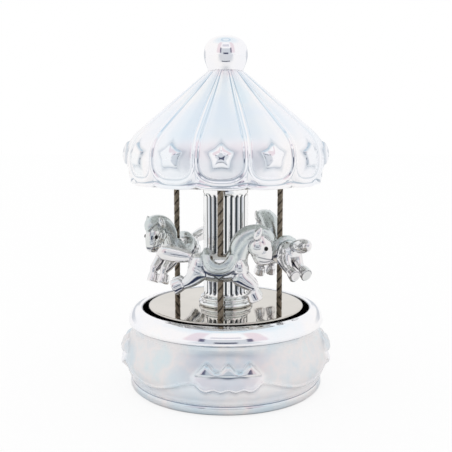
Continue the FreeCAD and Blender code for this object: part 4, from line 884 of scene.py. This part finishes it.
def make_horses():
    casting = horse_mesh()
    for i, angle in enumerate(POLE_ANGLES):
        way = Matrix.Translation((POLE_CIRCLE * math.sin(angle), -POLE_CIRCLE * math.cos(angle), HORSE_RISE))
        way = way @ Matrix.Rotation(angle, 4, "Z")
        bm = bmesh.new()
        bm.from_mesh(casting)
        tree = BVHTree.FromBMesh(bm)
        eyes = bmesh.new()
        for side in (-1, 1):
            spot = tree.ray_cast(Vector((EYE[0], 12 * side, EYE[1])), Vector((0, -side, 0)))[0]
            ball(eyes, spot.x, spot.y - 0.1 * side, spot.z, *EYE_SIZE)
        mark_creases(bm, 0.35, 1.4)
        mark_castings(bm)
        bmesh.ops.transform(bm, matrix=way, verts=bm.verts)
        bmesh.ops.transform(eyes, matrix=way, verts=eyes.verts)
        piece(bm, f"horse_{i + 1}_casting", "carousel", "silver_plate", "horse", f"horse_{i + 1}")
        piece(eyes, f"horse_{i + 1}_eyes", "carousel", "black_plastic", "black")


# CAD nodes that the scene shows as they are
NODE_FINISHES = {
    "ceiling": ("ceiling_plate",),
    "plastic": ("bottom_cover",),
    "felt": ("felt_ring",),
    "steel": ("cover_screws", "movement_screws", "comb_screws", "comb", "clutch_spring", "tie_rod", "pole_nuts",
              "winding_arbor", "cylinder_arbor", "idler_arbor", "worm_shaft"),
    "zinc": ("bedplate", "inner_bracket", "outer_bracket", "idler_bracket", "governor_frame", "spring_barrel",
             "barrel_cap", "turntable_hub"),
    "spring_steel": ("mainspring",),
    "nickel": ("wind_key",),
    "brass": ("drive_pinion", "music_cylinder"),
    "nylon": ("cylinder_wheel", "idler_pinion", "worm_wheel", "fly_vanes"),
}


def finish_nodes():
    for finish_name, node_names in NODE_FINISHES.items():
        for node_name in node_names:
            materials = NODES[node_name].data.materials
            materials.clear()
            materials.append(FINISHES[finish_name])


# stage, world and camera, in metres
FLOOR_RADIUS = 3.0
FLOOR_HEIGHT = -0.0002
FLOOR_SHINE = 0.85
CAMERA_PLACE = (0, -0.3170, 0.1158)
CAMERA_TILT = 0.139
LENS_MM, SENSOR_MM = 56.6, 36.0
LENS_SHIFT = (0.0004, 0.0031)


def make_stage():
    """White floor; reflections also see a grey patch and a dark strip in front."""
    bm = bmesh.new()
    bmesh.ops.create_circle(bm, cap_ends=True, segments=96, radius=FLOOR_RADIUS,
                            matrix=Matrix.Translation((0, 0, FLOOR_HEIGHT)))
    floor = linked(bm, "floor")
    finish = Finish("floor_white")
    x, y, _ = finish.split(finish.place())
    wide = finish.node("Math", {"operation": "ABSOLUTE"}, {0: x})
    mirrored = finish.rays("Is Glossy Ray")
    far = y.fade(-0.26, -0.13, 1.0, 0.0) * (wide + 0.8 * y).fade(-0.10, 0.10, 1.0, 0.0) * mirrored
    edge = y.fade(-0.240, -0.232) * y.fade(-0.210, -0.202, 1.0, 0.0) * wide.fade(0.09, 0.11, 1.0, 0.0) * mirrored
    table = finish.blend(far, (0.97, 0.97, 0.97), (0.68, 0.71, 0.75))
    finish.set(base_color=finish.blend(edge, table, (0.03, 0.04, 0.09)), roughness=0.9, specular_ior_level=0.0)
    white = finish.node("Emission", inputs={"Color": (1.0, 1.0, 1.0), "Strength": 1.0})
    share = finish.rays("Is Camera Ray") * FLOOR_SHINE
    mixed = finish.node("MixShader", inputs={0: share, 1: Value(finish, finish.shader.outputs[0]), 2: white})
    finish.tree.links.new(mixed.socket, finish.tree.nodes["Material Output"].inputs["Surface"])
    floor.data.materials.append(finish.material)


def make_world():
    """White tent; reflections also see its tinted and dark areas, by angle off the front and by height."""
    world = bpy.data.worlds.new("white_tent")
    bpy.context.scene.world = world
    world.use_nodes = True
    tent = Finish("tent", world.node_tree)
    x, y, z = tent.split(tent.node("TexCoord", output=0))
    azimuth = tent.node("Math", {"operation": "ARCTAN2"}, {0: x, 1: 0.0 - y})
    side = tent.node("Math", {"operation": "ABSOLUTE"}, {0: azimuth})
    zenith = z.fade(0.62, 0.97)
    colour = tent.blend(zenith, (0.98, 0.98, 0.98), (0.82, 0.90, 0.95))
    lamp = z.fade(0.955, 0.965) * z.fade(0.980, 0.988, 1.0, 0.0)
    colour = tent.blend(lamp, colour, (0.60, 0.73, 0.83))
    behind = y.fade(0.55, 0.85) * z.fade(0.14, 0.205, 1.0, 0.0)
    colour = tent.blend(behind, colour, (0.64, 0.67, 0.71))
    front = side.fade(0.35, 0.75, 1.0, 0.0) * z.fade(0.36, 0.46, 1.0, 0.0) * z.fade(-0.10, 0.02)
    colour = tent.blend(front, colour, (0.64, 0.68, 0.73))
    blush = side.fade(0.44, 0.52) * side.fade(0.80, 0.90, 1.0, 0.0)
    blush = blush * z.fade(0.08, 0.16) * z.fade(0.82, 0.92, 1.0, 0.0)
    colour = tent.blend(blush, colour, (0.85, 0.76, 0.80))
    window = side.fade(0.42, 0.46, 1.0, 0.0) * z.fade(0.40, 0.44) * z.fade(0.88, 0.92, 1.0, 0.0)
    colour = tent.blend(window, colour, (0.97, 0.97, 0.99))
    shade = side.fade(0.32, 0.36, 1.0, 0.0) * z.fade(0.52, 0.56) * z.fade(0.64, 0.68, 1.0, 0.0)
    colour = tent.blend(shade, colour, (0.68, 0.68, 0.75))
    frames = side.fade(0.40, 0.44) * side.fade(0.52, 0.56, 1.0, 0.0)
    bars = frames * z.fade(0.08, 0.14) * z.fade(0.40, 0.50, 1.0, 0.0)
    colour = tent.blend(bars, colour, (0.14, 0.14, 0.22))
    low = side.fade(0.20, 0.25, 1.0, 0.0) * z.fade(-0.06, -0.02) * z.fade(0.10, 0.13, 1.0, 0.0)
    colour = tent.blend(low, colour, (0.05, 0.06, 0.12))
    colour = tent.blend(tent.rays("Is Glossy Ray"), (1.0, 1.0, 1.0), colour)
    background = world.node_tree.nodes["Background"]
    tent.feed(background.inputs["Color"], colour)
    background.inputs["Strength"].default_value = 1.0


def make_camera():
    """Camera of the photo, fitted to the round edges it shows."""
    lens = bpy.data.cameras.new("camera")
    lens.lens = LENS_MM
    lens.sensor_width = SENSOR_MM
    lens.shift_x, lens.shift_y = LENS_SHIFT
    lens.clip_start = 0.01
    eye = bpy.data.objects.new("camera", lens)
    eye.location = CAMERA_PLACE
    eye.rotation_euler = (math.pi / 2 - CAMERA_TILT, 0, 0)
    bpy.context.scene.collection.objects.link(eye)
    bpy.context.scene.camera = eye


make_horses()
make_canopy()
make_stars()
make_finial()
make_base()
make_column()
make_column_foot()
make_poles()
make_disc()
finish_nodes()
make_stage()
make_world()
make_camera()
bpy.context.scene.view_settings.view_transform = "Standard"
